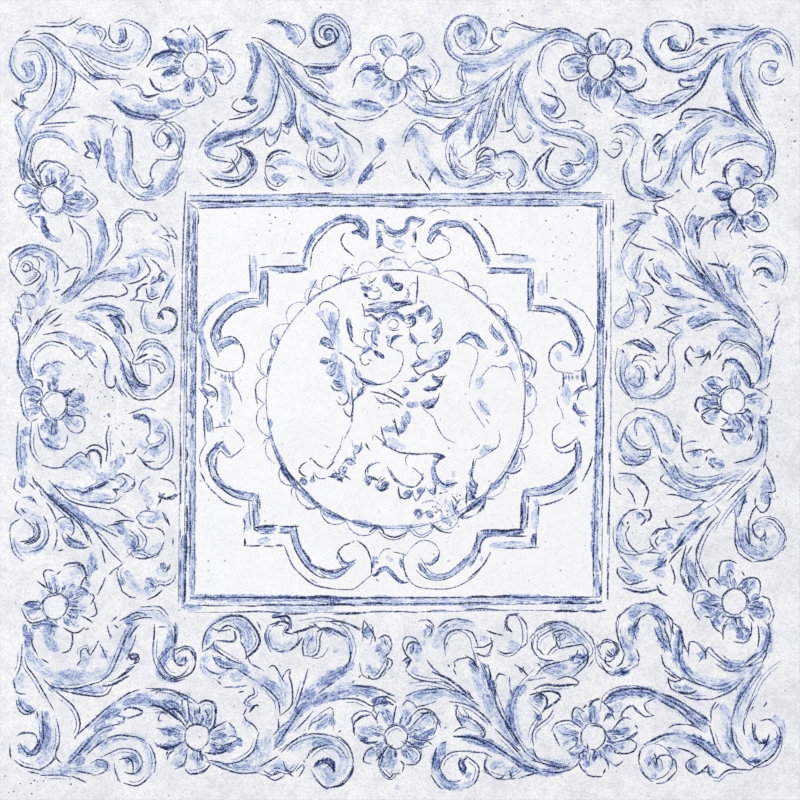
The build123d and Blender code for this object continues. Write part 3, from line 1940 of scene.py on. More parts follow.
wash(MID, 8, """
82,-227 82,-243 84,-249
95,-214 88,-218 84,-223
85,-268 94,-274 101,-277
101,-239 106,-236
104,-224 105,-230
129,-197 135,-192
134,-243 130,-240
136,-197 139,-190
140,-270 139,-275
155,-262 159,-260
160,-204 168,-203
154,-226 168,-219 177,-218
162,-250 168,-249 172,-246
167,-219 176,-218 192,-221
198,-223 204,-226
217,-270 220,-275 218,-278
213,-253 221,-254 228,-258
216,-232 223,-237 230,-243
224,-255 232,-261 239,-267
231,-277 236,-276
260,-270 266,-271
""")
wash(DEEP, 5, """
100,-224 105,-222 106,-228
102,-236 106,-240
131,-191 138,-193
137,-264 140,-272
156,-230 160,-234
160,-248 168,-250
218,-273 222,-277
232,-277 236,-279
262,-271 270,-270
""")
wash(DEEP, 6, """
102,-223 105,-227
103,-238 106,-236
127,-195 131,-192
140,-264 138,-269
155,-239 157,-234
159,-186 160,-190
205,-213 210,-216
""")
line(LIGHT, FINE, """
98,-228 106,-236 100,-246 98,-256
""")
line(MID, FINE, """
62,-278 70,-282 80,-284 90,-278
100,-202 90,-212 84,-224 82,-238 86,-252 94,-264 106,-272 120,-276 132,-274
142,-182 144,-190 130,-202
148,-182 146,-190 150,-200 160,-204 170,-200 176,-192
180,-262 186,-258 194,-258 202,-264 204,-272 200,-280 192,-284 184,-281 180,-273
""")
line(MID, LINE, """
82,-208 82,-213 83,-219
82,-278 84,-284
82,-284 88,-283
95,-175 95,-182 90,-186
96,-210 102,-209 108,-208
103,-186 108,-191
103,-186 104,-178 116,-171
98,-178 102,-173 118,-166 133,-171
115,-249 117,-254 119,-258
126,-263 129,-267
125,-195 131,-192 133,-188
126,-262 131,-259 133,-254 131,-252
127,-263 130,-266 134,-263
141,-281 138,-276
138,-173 144,-179 146,-186
145,-194 141,-200
141,-226 148,-224
143,-262 148,-264 146,-269
158,-206 172,-202 177,-199
165,-206 171,-203 176,-199
214,-250 224,-253 233,-258
248,-262 244,-256
255,-266 262,-271 269,-270
""")
line(DEEP, FINE, """
78,-172 80,-164 86,-161 90,-166 92,-176 90,-186 82,-192 74,-190
100,-182 102,-172 112,-166 124,-167 134,-173 142,-182
114,-172 116,-180 124,-178 122,-172
150,-232 152,-222 160,-216 172,-214 184,-216 210,-230 222,-240 232,-244
186,-274 190,-268 196,-270 196,-276
""")
line(DEEP, LINE, """
90,-162.6 94,-167 95,-171.5
150,-186 152,-180 158,-180 162,-186 160,-194 154,-196 149,-191
""")
line(DARK, LINE, """
74,-188 79,-190 84,-189
72,-247 85,-260 91,-267
80,-172 79,-166 82,-161 88,-160
72,-229 77,-238 93,-262
60,-254 68,-257 92,-273 100,-276 105,-279
89,-262 84,-258 80,-254
92,-201 91,-204 89,-200
87,-199 92,-202 95,-206
103,-279 96,-281 90,-283
96,-147 97,-148
97,-221 104,-219
99,-180 99,-186 104,-193
100,-262 102,-267 105,-270
100,-217 105,-214
103,-197 105,-199
100,-258 99,-252 101,-246 111,-238 114,-233
104,-193 109,-195 114,-195
100,-270 119,-275 125,-274
102,-206 106,-201 112,-198 125,-195
111,-190 114,-186 117,-184 117,-178 115,-174 124,-172 128,-175
118,-178 121,-175
134,-271 129,-276 117,-279 108,-278
114,-247 117,-242 127,-240 135,-245
118,-182 119,-186 124,-185 136,-183
119,-209 125,-207 134,-211 131,-214
129,-239 129,-234 132,-230 137,-233
135,-269 134,-265 139,-263
134,-271 136,-276 139,-279
130,-207 140,-197 140,-187 137,-184
137,-231 140,-228
140,-257 141,-262
150,-282 145,-282 141,-281
144,-244 148,-244 152,-246
150,-190 148,-186 150,-183 155,-181 159,-182
154,-276 152,-280
151,-267 155,-270 156,-275
152,-261 157,-258
152,-246 155,-251 157,-254
151,-198 155,-204 160,-206
154,-192 154,-197 158,-200
152,-226 156,-230 159,-233
160,-238 157,-234 153,-240
156,-188 160,-192 164,-188 162,-182 157,-180
162,-265 160,-262
152,-226 156,-223 160,-219 174,-216
159,-272 162,-274 166,-271
162,-170 163,-177 168,-190
159,-247 167,-238 172,-239
168,-190 166,-197 163,-199
172,-264 166,-265 161,-264
160,-256 167,-255 177,-249
165,-237 169,-231 173,-229 176,-231
165,-255 172,-254 177,-250
172,-254 177,-257 175,-263 168,-265 165,-264
167,-239 166,-234 174,-229 177,-233 182,-236
176,-243 178,-246
177,-187 179,-192 178,-198
165,-217 172,-216 187,-217 193,-220
179,-272 179,-266 181,-261
175,-229 183,-237 189,-236
180,-276 183,-281 188,-285
189,-236 185,-233 183,-229 185,-226 190,-224
190,-270 192,-275
192,-268 190,-264
201,-266 196,-266 192,-269 193,-274
195,-225 200,-228 205,-231
193,-287 199,-286 206,-279
203,-216 201,-211 201,-209
200,-260 204,-261
199,-203 203,-206 206,-208
207,-276 206,-270 201,-266
203,-216 207,-218
201,-209 206,-211 211,-209
202,-245 206,-243 212,-243
196,-220 210,-226 232,-241
209,-261 216,-263 222,-267
208,-232 220,-243 225,-247
222,-267 216,-270 214,-274 217,-278 221,-280
215,-243 220,-244 223,-246
220,-256 226,-260 232,-265
222,-280 230,-278
232,-245 236,-258 239,-263
234,-282 238,-283 246,-277 262,-277
241,-271 248,-274 255,-277
248,-245 250,-257 256,-265
""")
line(DARK, BOLD, """
79,-166 80,-170 83,-173
80,-167 80,-163 82,-161 87,-161
103,-219 109,-222 110,-228 107,-233
104,-219 111,-218 117,-219 120,-222 117,-226 108,-232
103,-215 110,-213 117,-214 131,-213
142,-229 145,-225 149,-224
160,-182 163,-186 161,-191 157,-192 155,-190
183,-258 197,-251 204,-250
196,-220 202,-222 208,-225
206,-218 216,-220 221,-218
222,-280 226,-278 230,-274
225,-235 231,-240
231,-275 231,-279 234,-282
229,-262 235,-267 241,-271
""")

# Border, left side: stems that cross at the flower of half height and end in coils at the frame.
# It is printed like the other three, in the same blue.

# Upper end: the flower under the corner and the sheaf that leans towards the frame
tint(9, """
-288,264 -291,251 -286,241 -276,236 -268,243 -266,256 -272,264
-287,214 -285,204 -284,190
-232,206 -228,196 -228,184
-282,172 -281,188 -274,197 -262,200 -250,196 -243,188
-208,180 -205,168 -196,159
-190,154 -178,160 -166,178
-226,137 -221,117 -230,94
-205,106 -195,110 -183,110 -174,106
-286,104 -280,112 -268,113 -259,105 -258,92
-215,92 -203,92 -195,98 -192,106
-255,72 -235,93 -224,100
-176,95 -172,85 -176,76
-268,90 -268,78
""")
tint(13, """
-270,272 -258,264 -251,250 -251,236 -268,208
""")
wash(LIGHT, 5, """
-270,216 -275,210 -283,191
-203,203 -203,185 -203,166
""")
wash(LIGHT, 6, """
-170,174 -170,168 -178,155
""")
wash(LIGHT, 7, """
-283,180 -282,173 -279,167
-263,173 -258,171
-202,172 -198,165
-171,172 -172,166 -181,156
-283,158 -277,157 -272,153
-178,156 -188,154 -195,152
-246,147 -235,146 -228,150
-186,125 -181,126
-227,136 -223,128 -225,108 -235,90
-285,104 -283,109 -270,113
-174,108 -176,104
-265,110 -262,104 -262,97
-203,103 -201,97 -200,92
-235,90 -212,96 -200,95
-226,91 -215,92 -206,90
-252,73 -243,82 -234,90
-187,85 -184,80 -190,77
-264,84 -267,76 -270,70
""")
wash(MID, 6, """
-203,180 -202,173
-250,163 -252,166 -255,170
-190,158 -184,161
-249,154 -243,152 -237,154
-252,152 -250,148 -252,143
-240,146 -236,148 -232,148
-257,119 -254,120
-187,88 -181,92
-236,88 -228,91
-186,85 -184,81 -187,77
-244,78 -240,81
""")
wash(MID, 7, """
-281,253 -276,250 -276,245
""")
wash(MID, 8, """
-283,252 -278,248 -278,241
-219,196 -218,186 -214,163
""")
wash(DEEP, 6, """
-283,229 -283,222
-234,194 -228,188 -226,180
-245,154 -241,154 -237,155
-268,137 -265,125 -256,119
-178,93 -180,88
""")
line(MID, FINE, """
-236,212 -228,213 -216,206
-288,96 -284,106 -276,109 -270,103 -272,95 -278,91
""")
line(MID, LINE, """
-288,266 -285,270 -278,273
-290,263 -292,253 -289,244 -282,238 -276,239 -273,243 -274,249
-280,260 -275,261 -269,259 -265,244 -272,232 -281,230 -282,221 -277,217
-263,264 -253,254 -244,246 -244,235 -250,222 -269,206
-287,225 -285,220 -282,218
-258,216 -247,219 -241,219
-235,212 -228,212 -216,210
-269,206 -262,207 -244,208
-281,218 -287,212 -288,206 -283,192
-215,198 -214,203 -212,205
-235,193 -234,188 -231,186
-281,165 -282,174 -277,195 -270,200 -260,201 -253,199
-274,165 -277,172 -275,189 -271,195 -263,197 -253,195 -247,189 -242,186
-226,195 -224,188 -227,175
-284,170 -285,178 -284,188
-270,168 -267,174 -262,178
-180,180 -185,176 -187,169 -185,164
-258,179 -251,175 -248,170 -254,162
-286,180 -283,166 -277,162
-281,180 -281,172 -277,165 -271,160
-277,180 -276,172 -272,164 -268,161
-219,172 -216,165 -213,163
-246,168 -239,167 -236,163
-270,172 -269,164 -267,161
-163,170 -167,166 -168,160 -177,153
-177,153 -171,157 -167,163 -166,169
-211,166 -206,158 -195,150 -184,150
-276,162 -284,161 -288,156 -288,151 -281,145
-238,160 -228,152 -227,147 -233,142
-271,158 -271,151 -264,141 -259,140
-158.8,148 -152,143
-252,141 -248,138 -241,137 -235,138
-212,127 -213,131 -208,139 -203,143 -198,142 -193,142 -188,140
-276,140 -277,136 -272,130
-226,141 -221,133 -219,126
-178,130 -174,126 -173,122
-171,128 -168,124 -167,120 -171,123 -176,123
-212,120 -212,126
-244,134 -233,123 -231,104 -233,97
-209,127 -209,115 -220,101
-180,122 -172,117 -169,101
-291,104 -293,108 -281,115 -273,116 -259,111 -256,107
-206,107 -200,106
-275,107 -270,107 -267,104
-255,107 -250,101 -248,99
-196,104 -195,98 -197,94
-257,106 -256,92 -258,86
-205,95 -214,94 -227,91
-265,96 -265,90 -273,79
-220,97 -228,92 -247,74
-180,71 -176,80 -169,93
-260,81 -254,83
-280,79 -275,79 -272,75
-237,74 -230,76 -224,78
-281,80 -285,76 -286,70
""")
line(DEEP, FINE, """
-214,210 -216,202
-206,205 -202,198 -202,190
-284,100 -281,104 -276,103 -275,98 -279,96
""")
line(DEEP, BOLD, """
-272,172 -269,177 -264,179 -258,178
-275,172 -273,165 -269,160
-252,152 -251,146 -254,141 -257,139
-272,137 -267,137 -267,132 -263,127
-292,108 -288,112 -284,114
-253,79 -247,84 -240,90
-201,75 -197,78 -197,82 -193,86 -190,87
""")
line(DARK, LINE, """
-282,274 -277,277
-284,269 -277,270 -269,268 -258,254 -259,231 -269,215
-207,204 -203,202 -201,196 -200,178
-200,172 -195,161 -191,159 -187,161 -185,165
-266,160 -261,162 -258,163
-276,162 -272,159 -269,158
-259,160 -254,157 -251,154
-285,145 -280,144 -276,146
-276,141 -272,145 -270,148
-190,140 -184,134 -182,137 -184,139
-210,127 -211,131 -208,136 -200,141
-248,135 -245,126 -246,124
-222,134 -218,120 -219,114
-193,107 -187,97 -189,93
-281,101 -283,98 -280,96 -277,98 -278,101 -280,102
-186,105 -181,101 -179,97 -174,94
-250,96 -243,99 -238,98
-292,102 -291,96 -284,87
-181,90 -180,94 -177,96
-275,99 -269,94 -276,87 -281,86
-204,87 -198,88 -192,91 -188,95
-186,87 -182,89 -180,92
-240,96 -245,86 -247,84
-212,77 -206,79 -204,82 -207,86
-190,83 -189,78 -186,75 -181,77
-226,77 -216,78 -212,77
""")
line(DARK, BOLD, """
-290,224 -286,221 -280,219
-236,192 -233,187 -236,183 -231,181
""")

# Half height: the leaves and coils on both sides of the flower
tint(9, """
-282,78 -277,72 -278,62
-238,66 -228,70 -216,68 -208,62
-190,66 -189,57 -180,52 -171,56
-284,48 -284,35 -276,15
-194,38 -182,41 -173,32 -173,18 -182,8 -195,4
-220,30 -219,14
-186,-14 -178,-22
-196,-32 -184,-38 -176,-32 -174,-22
-284,-22 -282,-50 -283,-62
-214,-58 -206,-62 -210,-68
-255,-62 -244,-68 -232,-68 -222,-63
-192,-64 -190,-76
""")
tint(13, """
-268,20 -262,26 -254,20
-280,6 -268,6
-243,-15 -240,-20
-264,-26 -254,-30
-252,-50 -242,-46 -234,-48 -228,-56 -220,-60
""")
wash(LIGHT, 7, """
-228,69 -219,69 -212,68
-287,63 -284,57
-243,62 -233,61 -224,57
-249,49 -232,38 -229,31
-215,48 -209,40 -204,32
-217,-52 -212,-46 -209,-40
""")
wash(LIGHT, 8, """
-218,-52 -222,-60 -217,-66
-262,-63 -256,-70
-240,-71 -228,-73 -217,-73
""")
wash(LIGHT, 9, """
-258,48 -249,46
-285,33 -283,24
-272,23 -265,20
-260,18 -256,14
-206,14 -203,8
-240,-8 -233,-9
-183,-26 -178,-18
-188,-38 -179,-40
-281,-32 -283,-42 -284,-52
-245,-50 -236,-48
-213,-52 -219,-60
-284,-56 -282,-66
-220,-61 -229,-65
""")
wash(MID, 5, """
-143,66 -149.5,52 -143,28
""")
wash(MID, 6, """
-243,62 -235,62 -228,61
-244,46 -236,42 -228,40
""")
wash(MID, 8, """
-212,60 -209,53 -206,50
-214,47 -210,42
-247,47 -241,42 -235,40
-232,36 -228,38
-281,26 -277,14 -272,13
-208,27 -202,13 -197,8 -190,9
-279,6 -273,6
-245,2 -241,3 -237,-2
-276,-2 -271,-4
-267,-17 -265,-24
-280,-20 -279,-27
-268,-29 -262,-34 -255,-35
-207,-42 -213,-51
-278,-73 -274,-76
""")
wash(DEEP, 4, """
-148,9 -145,6 -142,3
""")
wash(DEEP, 6, """
-181,66 -178,62
-206,62 -211,62 -212,56
-218,64 -212,58 -209,53
-207,22 -204,15 -196,10 -189,9
-254,7 -248,3
-247,-4 -240,-3
-275,-4 -270,-8
-200,-12 -193,-13 -189,-17
-266,-14 -260,-20 -256,-24
-282,-57 -283,-62 -282,-66
""")
wash(DEEP, 8, """
-250,5 -245,5
-264,-20 -261,-22 -258,-26
""")
line(LIGHT, FINE, """
-161,154 -163,100 -166,-150
""")
line(MID, FINE, """
-282,82 -276,78 -272,72 -276,68 -284,70
-145,-32 -150,-42 -149,-50
""")
line(MID, LINE, """
-201,75 -191,74 -187,73
-286,76 -284,70 -284,65
-240,66 -224,71 -209,68 -207,65
-290,62 -288,66 -284,65
-192,72 -194,66 -193,57 -190,52 -184,50
-288,62 -288,57 -286,52
-234,60 -227,57 -221,52
-260,55 -253,57
-292,60 -289,55 -286,51
-206,60 -202,55 -201,51
-197,37 -193,43 -186,46 -180,44
-196,34 -193,40 -187,43 -180,42 -174,37 -170,31
-239,31 -235,34 -234,36
-250,41 -262,44 -270,40 -276,33 -277,25 -275,18
-199,33 -200,27 -192,28
-235,35 -230,27 -228,25
-260,27 -256,29 -252,27
-195,27 -190,30 -184,30 -178,27 -176,24
-210,32 -207,25 -206,20
-269,22 -266,26 -263,27
-187,26 -182,25 -179,20 -176,23 -178,28
-220,27 -221,20 -221,15
-188,26 -187,21 -187,12
-214,17 -212,10 -208,4
-213,17 -210,9 -205,3
-272,-2 -262,7 -256,7
-281,8 -284,3 -282,-10 -278,-15
-202,-10 -190,-6 -184,-8
-249,0 -249,-7 -252,-13 -257,-15 -262,-13 -268,-3
-276,-16 -271,-14
-251,-12 -239,-12 -236,-17 -237,-22 -241,-25 -247,-23 -250,-19
-188,-20 -187,-25 -190,-29 -188,-32
-271,-19 -270,-26 -266,-33 -254,-37 -250,-33 -249,-27
-182,-24 -177,-25 -176,-30 -180,-34 -187,-36 -191,-40
-209,-30 -206,-35
-276,-18 -277,-33 -275,-41 -271,-46
-176,-15 -171,-21 -170,-40 -174,-47 -180,-51
-286,-17 -287,-40 -286,-52
-196,-42 -191,-46 -185,-46
-219,-59 -213,-60
-213,-57 -208,-55 -199,-60 -200,-66 -206,-69
-208,-58 -205,-61 -209,-65
-195,-66 -193,-61 -188,-58
-199,-58 -199,-63 -203,-66
-278,-62 -273,-67
-288,-60 -289,-66 -285,-69
-258,-64 -251,-67 -244,-67
-281,-73 -276,-73 -272,-78
""")
line(DEEP, FINE, """
-288,66 -290,58 -286,50
-262,70 -270,58 -280,42
""")
line(DEEP, LINE, """
-150,8 -144,0 -145,-3
""")
line(DEEP, BOLD, """
-179,64 -177,60
-180,62 -179,67 -173,69 -168,66 -167,60 -169,53 -173,50
-197,30 -193,33 -190,34
-285,36 -286,22 -280,10
-251,3 -247,6 -244,8
-219,-10 -217,-13
-198,-14 -192,-11 -188,-15 -187,-20
-194,-44 -190,-49 -184,-52 -178,-51
-219,-62 -225,-65 -232,-66
-244,-67 -238,-69 -233,-68 -220,-61
-176,-70 -181,-73
-180,-70 -179,-74 -181,-78
""")
line(DARK, LINE, """
-262,57 -257,61 -254,64
-278,63 -276,58
-277,50 -273,56 -262,66 -257,68
-282,42 -278,48 -271,60
-232,56 -219,49 -215,44
-266,49 -255,51 -250,50
-286,50 -285,44 -285,36
-261,44 -255,43 -250,41
-208,48 -203,42 -199,33
-215,44 -211,38 -209,33
-247,39 -243,34 -239,31
-224,40 -220,34 -219,28
-185,34 -179,32
-206,32 -202,27 -201,20
-206,20 -204,14 -201,9
-268,10 -268,14 -272,15
-221,15 -220,11 -216,9 -213,12 -213,17
-200,18 -197,12 -193,10 -188,11
-183,1 -171,11 -169,25
-281,8 -275,10 -269,8 -268,5
-257,6 -252,5 -249,1
-205,7 -200,2 -194,0 -183,1
-220,-45 -219,-37 -220,-28 -218,-20
-234,-36 -231,-34 -226,-34 -221,-37
-204,-40 -200,-40 -198,-37
-235,-42 -232,-45 -233,-40 -229,-38 -225,-42 -224,-50
-235,-42 -239,-39 -247,-44 -253,-50
-251,-50 -260,-51 -267,-49
-202,-58 -207,-55 -212,-57
-149.5,-54 -146,-60.5
-275,-58 -274,-61 -272,-64
-178,-59 -173,-60 -169,-63 -168,-66
-213,-68 -210,-67 -215,-67 -212,-70 -213,-74
-270,-67 -268,-72
-173,-74 -170,-74 -167,-71
-178,-72 -174,-75
-262,-61 -246,-76 -218,-82
""")
line(DARK, BOLD, """
-181,62 -178,68 -170,66 -167,60 -170,53 -178,50
-219,63 -212,62 -207,55 -206,50
-154,52 -153,50
-202,28 -199,18 -194,12 -188,11
-235,-42 -232,-38 -227,-38 -224,-42 -224,-48
-180,-72 -175,-74 -169,-71
""")

# Lower end: the leaves over the last flower, and the stem that dips into the corner
tint(9, """
-196,-88 -186,-90 -180,-82
-250,-80 -236,-90 -222,-97
-284,-82 -268,-92 -264,-104
-256,-94 -248,-92 -245,-98
-196,-100 -200,-110 -190,-114 -178,-108
-290,-104 -284,-112 -272,-112 -264,-104
-182,-126 -174,-132
-205,-128 -198,-140 -186,-146
-268,-172 -262,-180 -256,-188
-240,-192 -230,-192
-282,-205 -288,-212 -282,-216
-285,-222 -282,-230 -274,-232
""")
tint(13, """
-247,-131 -238,-128
-262,-132 -256,-136
-276,-172 -278,-186 -270,-200 -254,-208 -236,-208 -220,-203 -210,-190 -204,-176 -197,-166
-240,-216 -228,-217
-272,-236 -264,-250 -264,-264 -272,-272
""")
wash(LIGHT, 7, """
-262,-66 -252,-78 -228,-96
-231,-114 -230,-126 -234,-134
-191,-136 -187,-142 -183,-138
""")
wash(LIGHT, 8, """
-187,-72 -188,-80
-184,-86 -178,-88
-190,-91 -184,-90
-253,-94 -253,-100
-206,-128 -203,-131
-268,-142 -266,-147
-264,-166 -262,-174 -259,-182
-205,-170 -203,-180 -206,-190
-264,-176 -261,-183 -257,-188
-224,-193 -219,-188
-278,-188 -276,-196
-241,-199 -233,-195
-256,-204 -245,-206 -235,-204
-245,-219 -234,-217 -222,-217
-283,-225 -278,-227
-267,-245 -264,-258
""")
wash(SOFT, 7, """
-279,-152 -272,-156 -280,-160
-262,-214 -252,-218
-285,-226 -279,-231
-286,-258 -280,-264 -272,-265
""")
wash(MID, 8, """
-264,-71 -245,-83 -228,-95
-214,-92 -209,-96 -205,-101
-205,-101 -202,-107 -198,-110
-231,-116 -230,-124 -232,-131
-210,-134 -206,-138
-232,-137 -236,-138
-191,-135 -187,-137 -190,-142
-243,-145 -238,-143 -233,-145
-247,-162 -241,-160
-206,-167 -199,-163
-263,-215 -258,-217
-280,-229 -275,-233
-265,-233 -265,-253 -268,-262
-285,-259 -281,-264
""")
wash(DEEP, 5, """
-272,-168 -264,-167 -256,-170
-281,-168 -280,-176 -275,-180
-280,-265 -272,-262 -270,-254
""")
wash(DEEP, 6, """
-250,-104 -243,-107 -237,-110
-176,-122 -179,-126
-281,-154 -274,-153 -271,-158
-273,-171 -270,-170
""")
wash(DEEP, 7, """
-276,-169 -272,-171
-278,-171 -279,-178 -278,-185
-200,-193 -197,-192
""")
line(MID, FINE, """
-205,-118 -196,-112 -186,-116 -178,-112
""")
line(MID, LINE, """
-231,-76 -215,-77 -210,-73
-287,-77 -288,-82 -284,-86
-197,-88 -195,-85 -190,-83 -184,-84
-258,-91 -254,-88 -249,-88 -245,-92 -244,-98 -246,-101
-292,-98 -291,-93 -286,-90
-196,-90 -192,-95 -186,-96
-281,-90 -277,-93 -274,-98 -275,-103
-234,-92 -229,-97 -224,-101
-229,-93 -220,-98 -212,-102
-239,-92 -235,-98 -231,-107
-257,-98 -257,-105 -259,-111
-202,-98 -197,-102 -196,-109 -201,-113
-170,-103 -170,-110
-253,-101 -251,-106 -246,-110 -240,-111
-195,-97 -190,-103 -191,-110 -196,-113 -202,-113 -200,-117
-292,-101 -291,-109 -288,-116 -283,-120
-217,-130 -214,-127 -209,-124
-208,-123 -212,-129 -208,-143
-184,-133 -181,-137
-187,-137 -183,-140 -180,-138 -176,-139 -170,-136 -168,-131
-240,-140 -236,-142 -231,-146
-249,-157 -251,-152
-193,-155 -180,-155 -174,-161
-267,-155 -266,-160 -263,-163
-219,-170 -218,-174 -217,-178
-203,-190 -200,-184 -198,-177
-283,-184 -284,-198 -287,-206
-266,-210 -262,-214 -258,-218
-286,-224 -283,-230
-286,-251 -282,-249 -276,-249
-257,-240 -255,-250 -256,-260 -260,-269
-292,-258 -292,-265 -291,-268
""")
line(DEEP, LINE, """
-175,-170 -181,-170
-268,-234 -267,-255 -270,-263
""")
line(DEEP, BOLD, """
-190,-80 -187,-82
-247,-88 -244,-94
-175,-129 -172,-123
-201,-199 -206,-204
""")
line(DARK, LINE, """
-267,-68 -244,-86 -239,-92
-284,-81 -280,-85
-264,-78 -261,-82 -257,-91
-216,-81 -211,-83 -206,-87 -203,-88
-267,-87 -264,-92
-176,-86 -174,-90 -173,-93
-212,-91 -205,-90 -200,-91
-218,-94 -213,-93 -208,-92
-182,-96 -178,-98 -177,-101
-275,-92 -270,-96 -270,-102 -273,-106 -278,-108
-283,-106 -278,-105 -274,-102
-249,-101 -245,-105 -237,-108
-264,-94 -263,-101 -265,-107 -270,-112 -276,-113
-209,-121 -218,-112 -230,-96
-241,-111 -237,-111 -234,-110
-182,-116 -179,-112 -177,-107
-256,-113 -252,-112
-221,-121 -222,-117 -223,-112
-197,-118 -192,-119 -182,-116
-251,-124 -246,-122 -240,-122 -236,-126 -235,-132
-266,-133 -267,-130 -264,-127 -260,-128
-257,-131 -254,-128
-236,-132 -233,-131
-235,-132 -238,-136 -239,-140
-266,-135 -264,-140 -266,-140
-271,-136 -267,-139 -263,-141
-221,-134 -223,-139 -226,-145
-253,-140 -252,-143
-258,-138 -257,-143 -260,-145 -263,-143
-188,-149 -182,-146 -179,-143
-208,-143 -203,-147 -199,-148
-231,-152 -229,-148 -230,-146
-270,-155 -267,-150 -262,-147 -256,-146
-254,-145 -250,-148 -248,-152 -249,-156
-281,-153 -278,-151 -272,-151
-245,-154 -241,-155
-247,-157 -243,-157
-231,-162 -227,-160 -229,-152
-165,-157 -166,-158
-209,-165 -197,-159 -191,-161
-283,-157 -279,-165 -274,-167 -265,-164
-200,-165 -193,-163 -187,-163
-238,-162 -234,-164 -231,-166
-212,-162 -216,-166
-214,-168 -211,-171
-233,-171 -236,-172
-237,-171 -241,-174 -246,-174 -251,-171
-202,-177 -199,-172 -196,-169
-184,-169 -184,-176 -185,-183
-217,-175 -216,-178
-246,-174 -245,-178 -245,-182
-227,-181 -225,-181
-252,-189 -247,-187 -245,-178
-276,-180 -275,-184 -272,-190
-239,-192 -239,-188 -235,-186 -232,-191 -227,-183
-224,-184 -222,-188 -220,-193
-225,-211 -218,-206 -213,-197 -205,-177 -201,-170
-204,-194 -201,-190 -196,-191 -196,-196 -201,-198
-268,-194 -263,-197
-242,-199 -239,-195
-281,-193 -279,-200 -273,-208 -260,-231
-265,-211 -260,-215 -243,-216 -225,-211
-289,-211 -287,-219 -281,-220
-255,-216 -247,-219 -227,-222 -219,-220 -216,-215
-287,-226 -286,-231 -282,-235 -277,-235 -273,-232
-283,-230 -280,-233 -275,-234
-258,-218 -245,-229 -240,-239 -240,-246 -243,-253
-272,-233 -271,-238
-282,-250 -277,-249 -273,-251
-273,-251 -271,-257 -275,-262
-284,-258 -281,-263 -276,-266 -271,-264 -269,-258
-288,-270 -283,-274 -270,-277
""")
line(DARK, BOLD, """
-272,-62 -262,-73 -240,-93 -234,-104
-178,-84 -174,-92
-272,-92 -270,-98 -272,-104 -280,-107
-250,-123 -242,-122 -236,-127 -235,-134
-204,-193 -199,-190 -196,-192 -199,-197
-203,-191 -201,-194 -197,-194
-211,-208 -205,-204 -200,-200
-222,-214 -215,-213 -204,-207
""")

# Flowers: twelve open blossoms at the joints of the scrolls, each with a bare round heart and loose petals.
# A petal is a pale first coat with two darker dabs at its root and a vein, pulled out from the heart.
# Each flower has the middle and the radius of its heart, and the bearings of its petals in degrees.
FLOWERS = (
    (-153.5, 250.5, 9.5, (125, 95, 0, 300, 255, 195, 160)),
    (-3.5, 248.5, 9.5, (120, 55, 355, 310, 270, 225, 185)),
    (150.5, 249.5, 10.0, (185, 140, 95, 50, 350, 310, 265, 235)),
    (-260.5, 150.0, 9.5, (95, 165, 210, 5, 340, 45)),
    (-259.5, -3.5, 10.0, (160, 195, 95, 15, 350, 320, 270)),
    (-258.5, -154.5, 9.5, (95, 55, 25, 355, 320, 265, 180)),
    (256.5, 148.5, 10.0, (90, 160, 20, 310, 260, 225)),
    (249.0, -1.0, 9.5, (180, 150, 205, 85, 10, 275, 320)),
    (250.5, -151.0, 9.5, (50, 105, 180, 225, 280, 350)),
    (-152.0, -252.0, 9.5, (100, 65, 20, 345, 275, 225, 195, 165)),
    (-3.0, -252.0, 9.0, (165, 115, 65, 20, 350, 310, 260, 220)),
    (144.5, -252.0, 9.5, (90, 125, 180, 230, 265, 10, 335, 305)),
)
HEART_ARCS = ((15, 120, 0.4), (130, 205, -0.5), (200, 290, 0.3), (300, 380, -0.3))
ARC_STEP = 12
PETAL_WIDTH = 12
ROOT_DAB_WIDTH = 3.5
SIDE_DAB_WIDTH = 3


def arc(x, y, radius, start, stop):
    """Row of points along an arc, from one bearing to another in degrees."""
    bearings = np.radians(np.linspace(start, stop, max(3, abs(stop - start) // ARC_STEP)))
    return " ".join(f"{x + radius * np.cos(b):.1f},{y + radius * np.sin(b):.1f}" for b in bearings)


def spoke(x, y, bearing, near, far):
    """Row of three points straight out from a flower's middle, at a bearing in degrees."""
    out = np.array((np.cos(np.radians(bearing)), np.sin(np.radians(bearing))))
    return " ".join(f"{x + out[0] * d:.1f},{y + out[1] * d:.1f}" for d in (near, (near + far) / 2, far))


for x, y, heart, petals in FLOWERS:
    for start, stop, out in HEART_ARCS:
        lay("line", drawn(MID), LINE, arc(x, y, heart + out, start, stop), LINE_ENDS)
    for number, bearing in enumerate(petals):
        tint(PETAL_WIDTH, spoke(x, y, bearing, heart + 4, heart + 14))
        wash(MID, ROOT_DAB_WIDTH, spoke(x, y, bearing - 14, heart + 1, heart + 7 + number % 3))
        dab = MID if number % 2 else DEEP
        wash(dab, SIDE_DAB_WIDTH, spoke(x, y, bearing + 8, heart + 1, heart + 9 - number % 4))
        line(MID, FINE, spoke(x, y, bearing - 4, heart + 3, heart + 11))

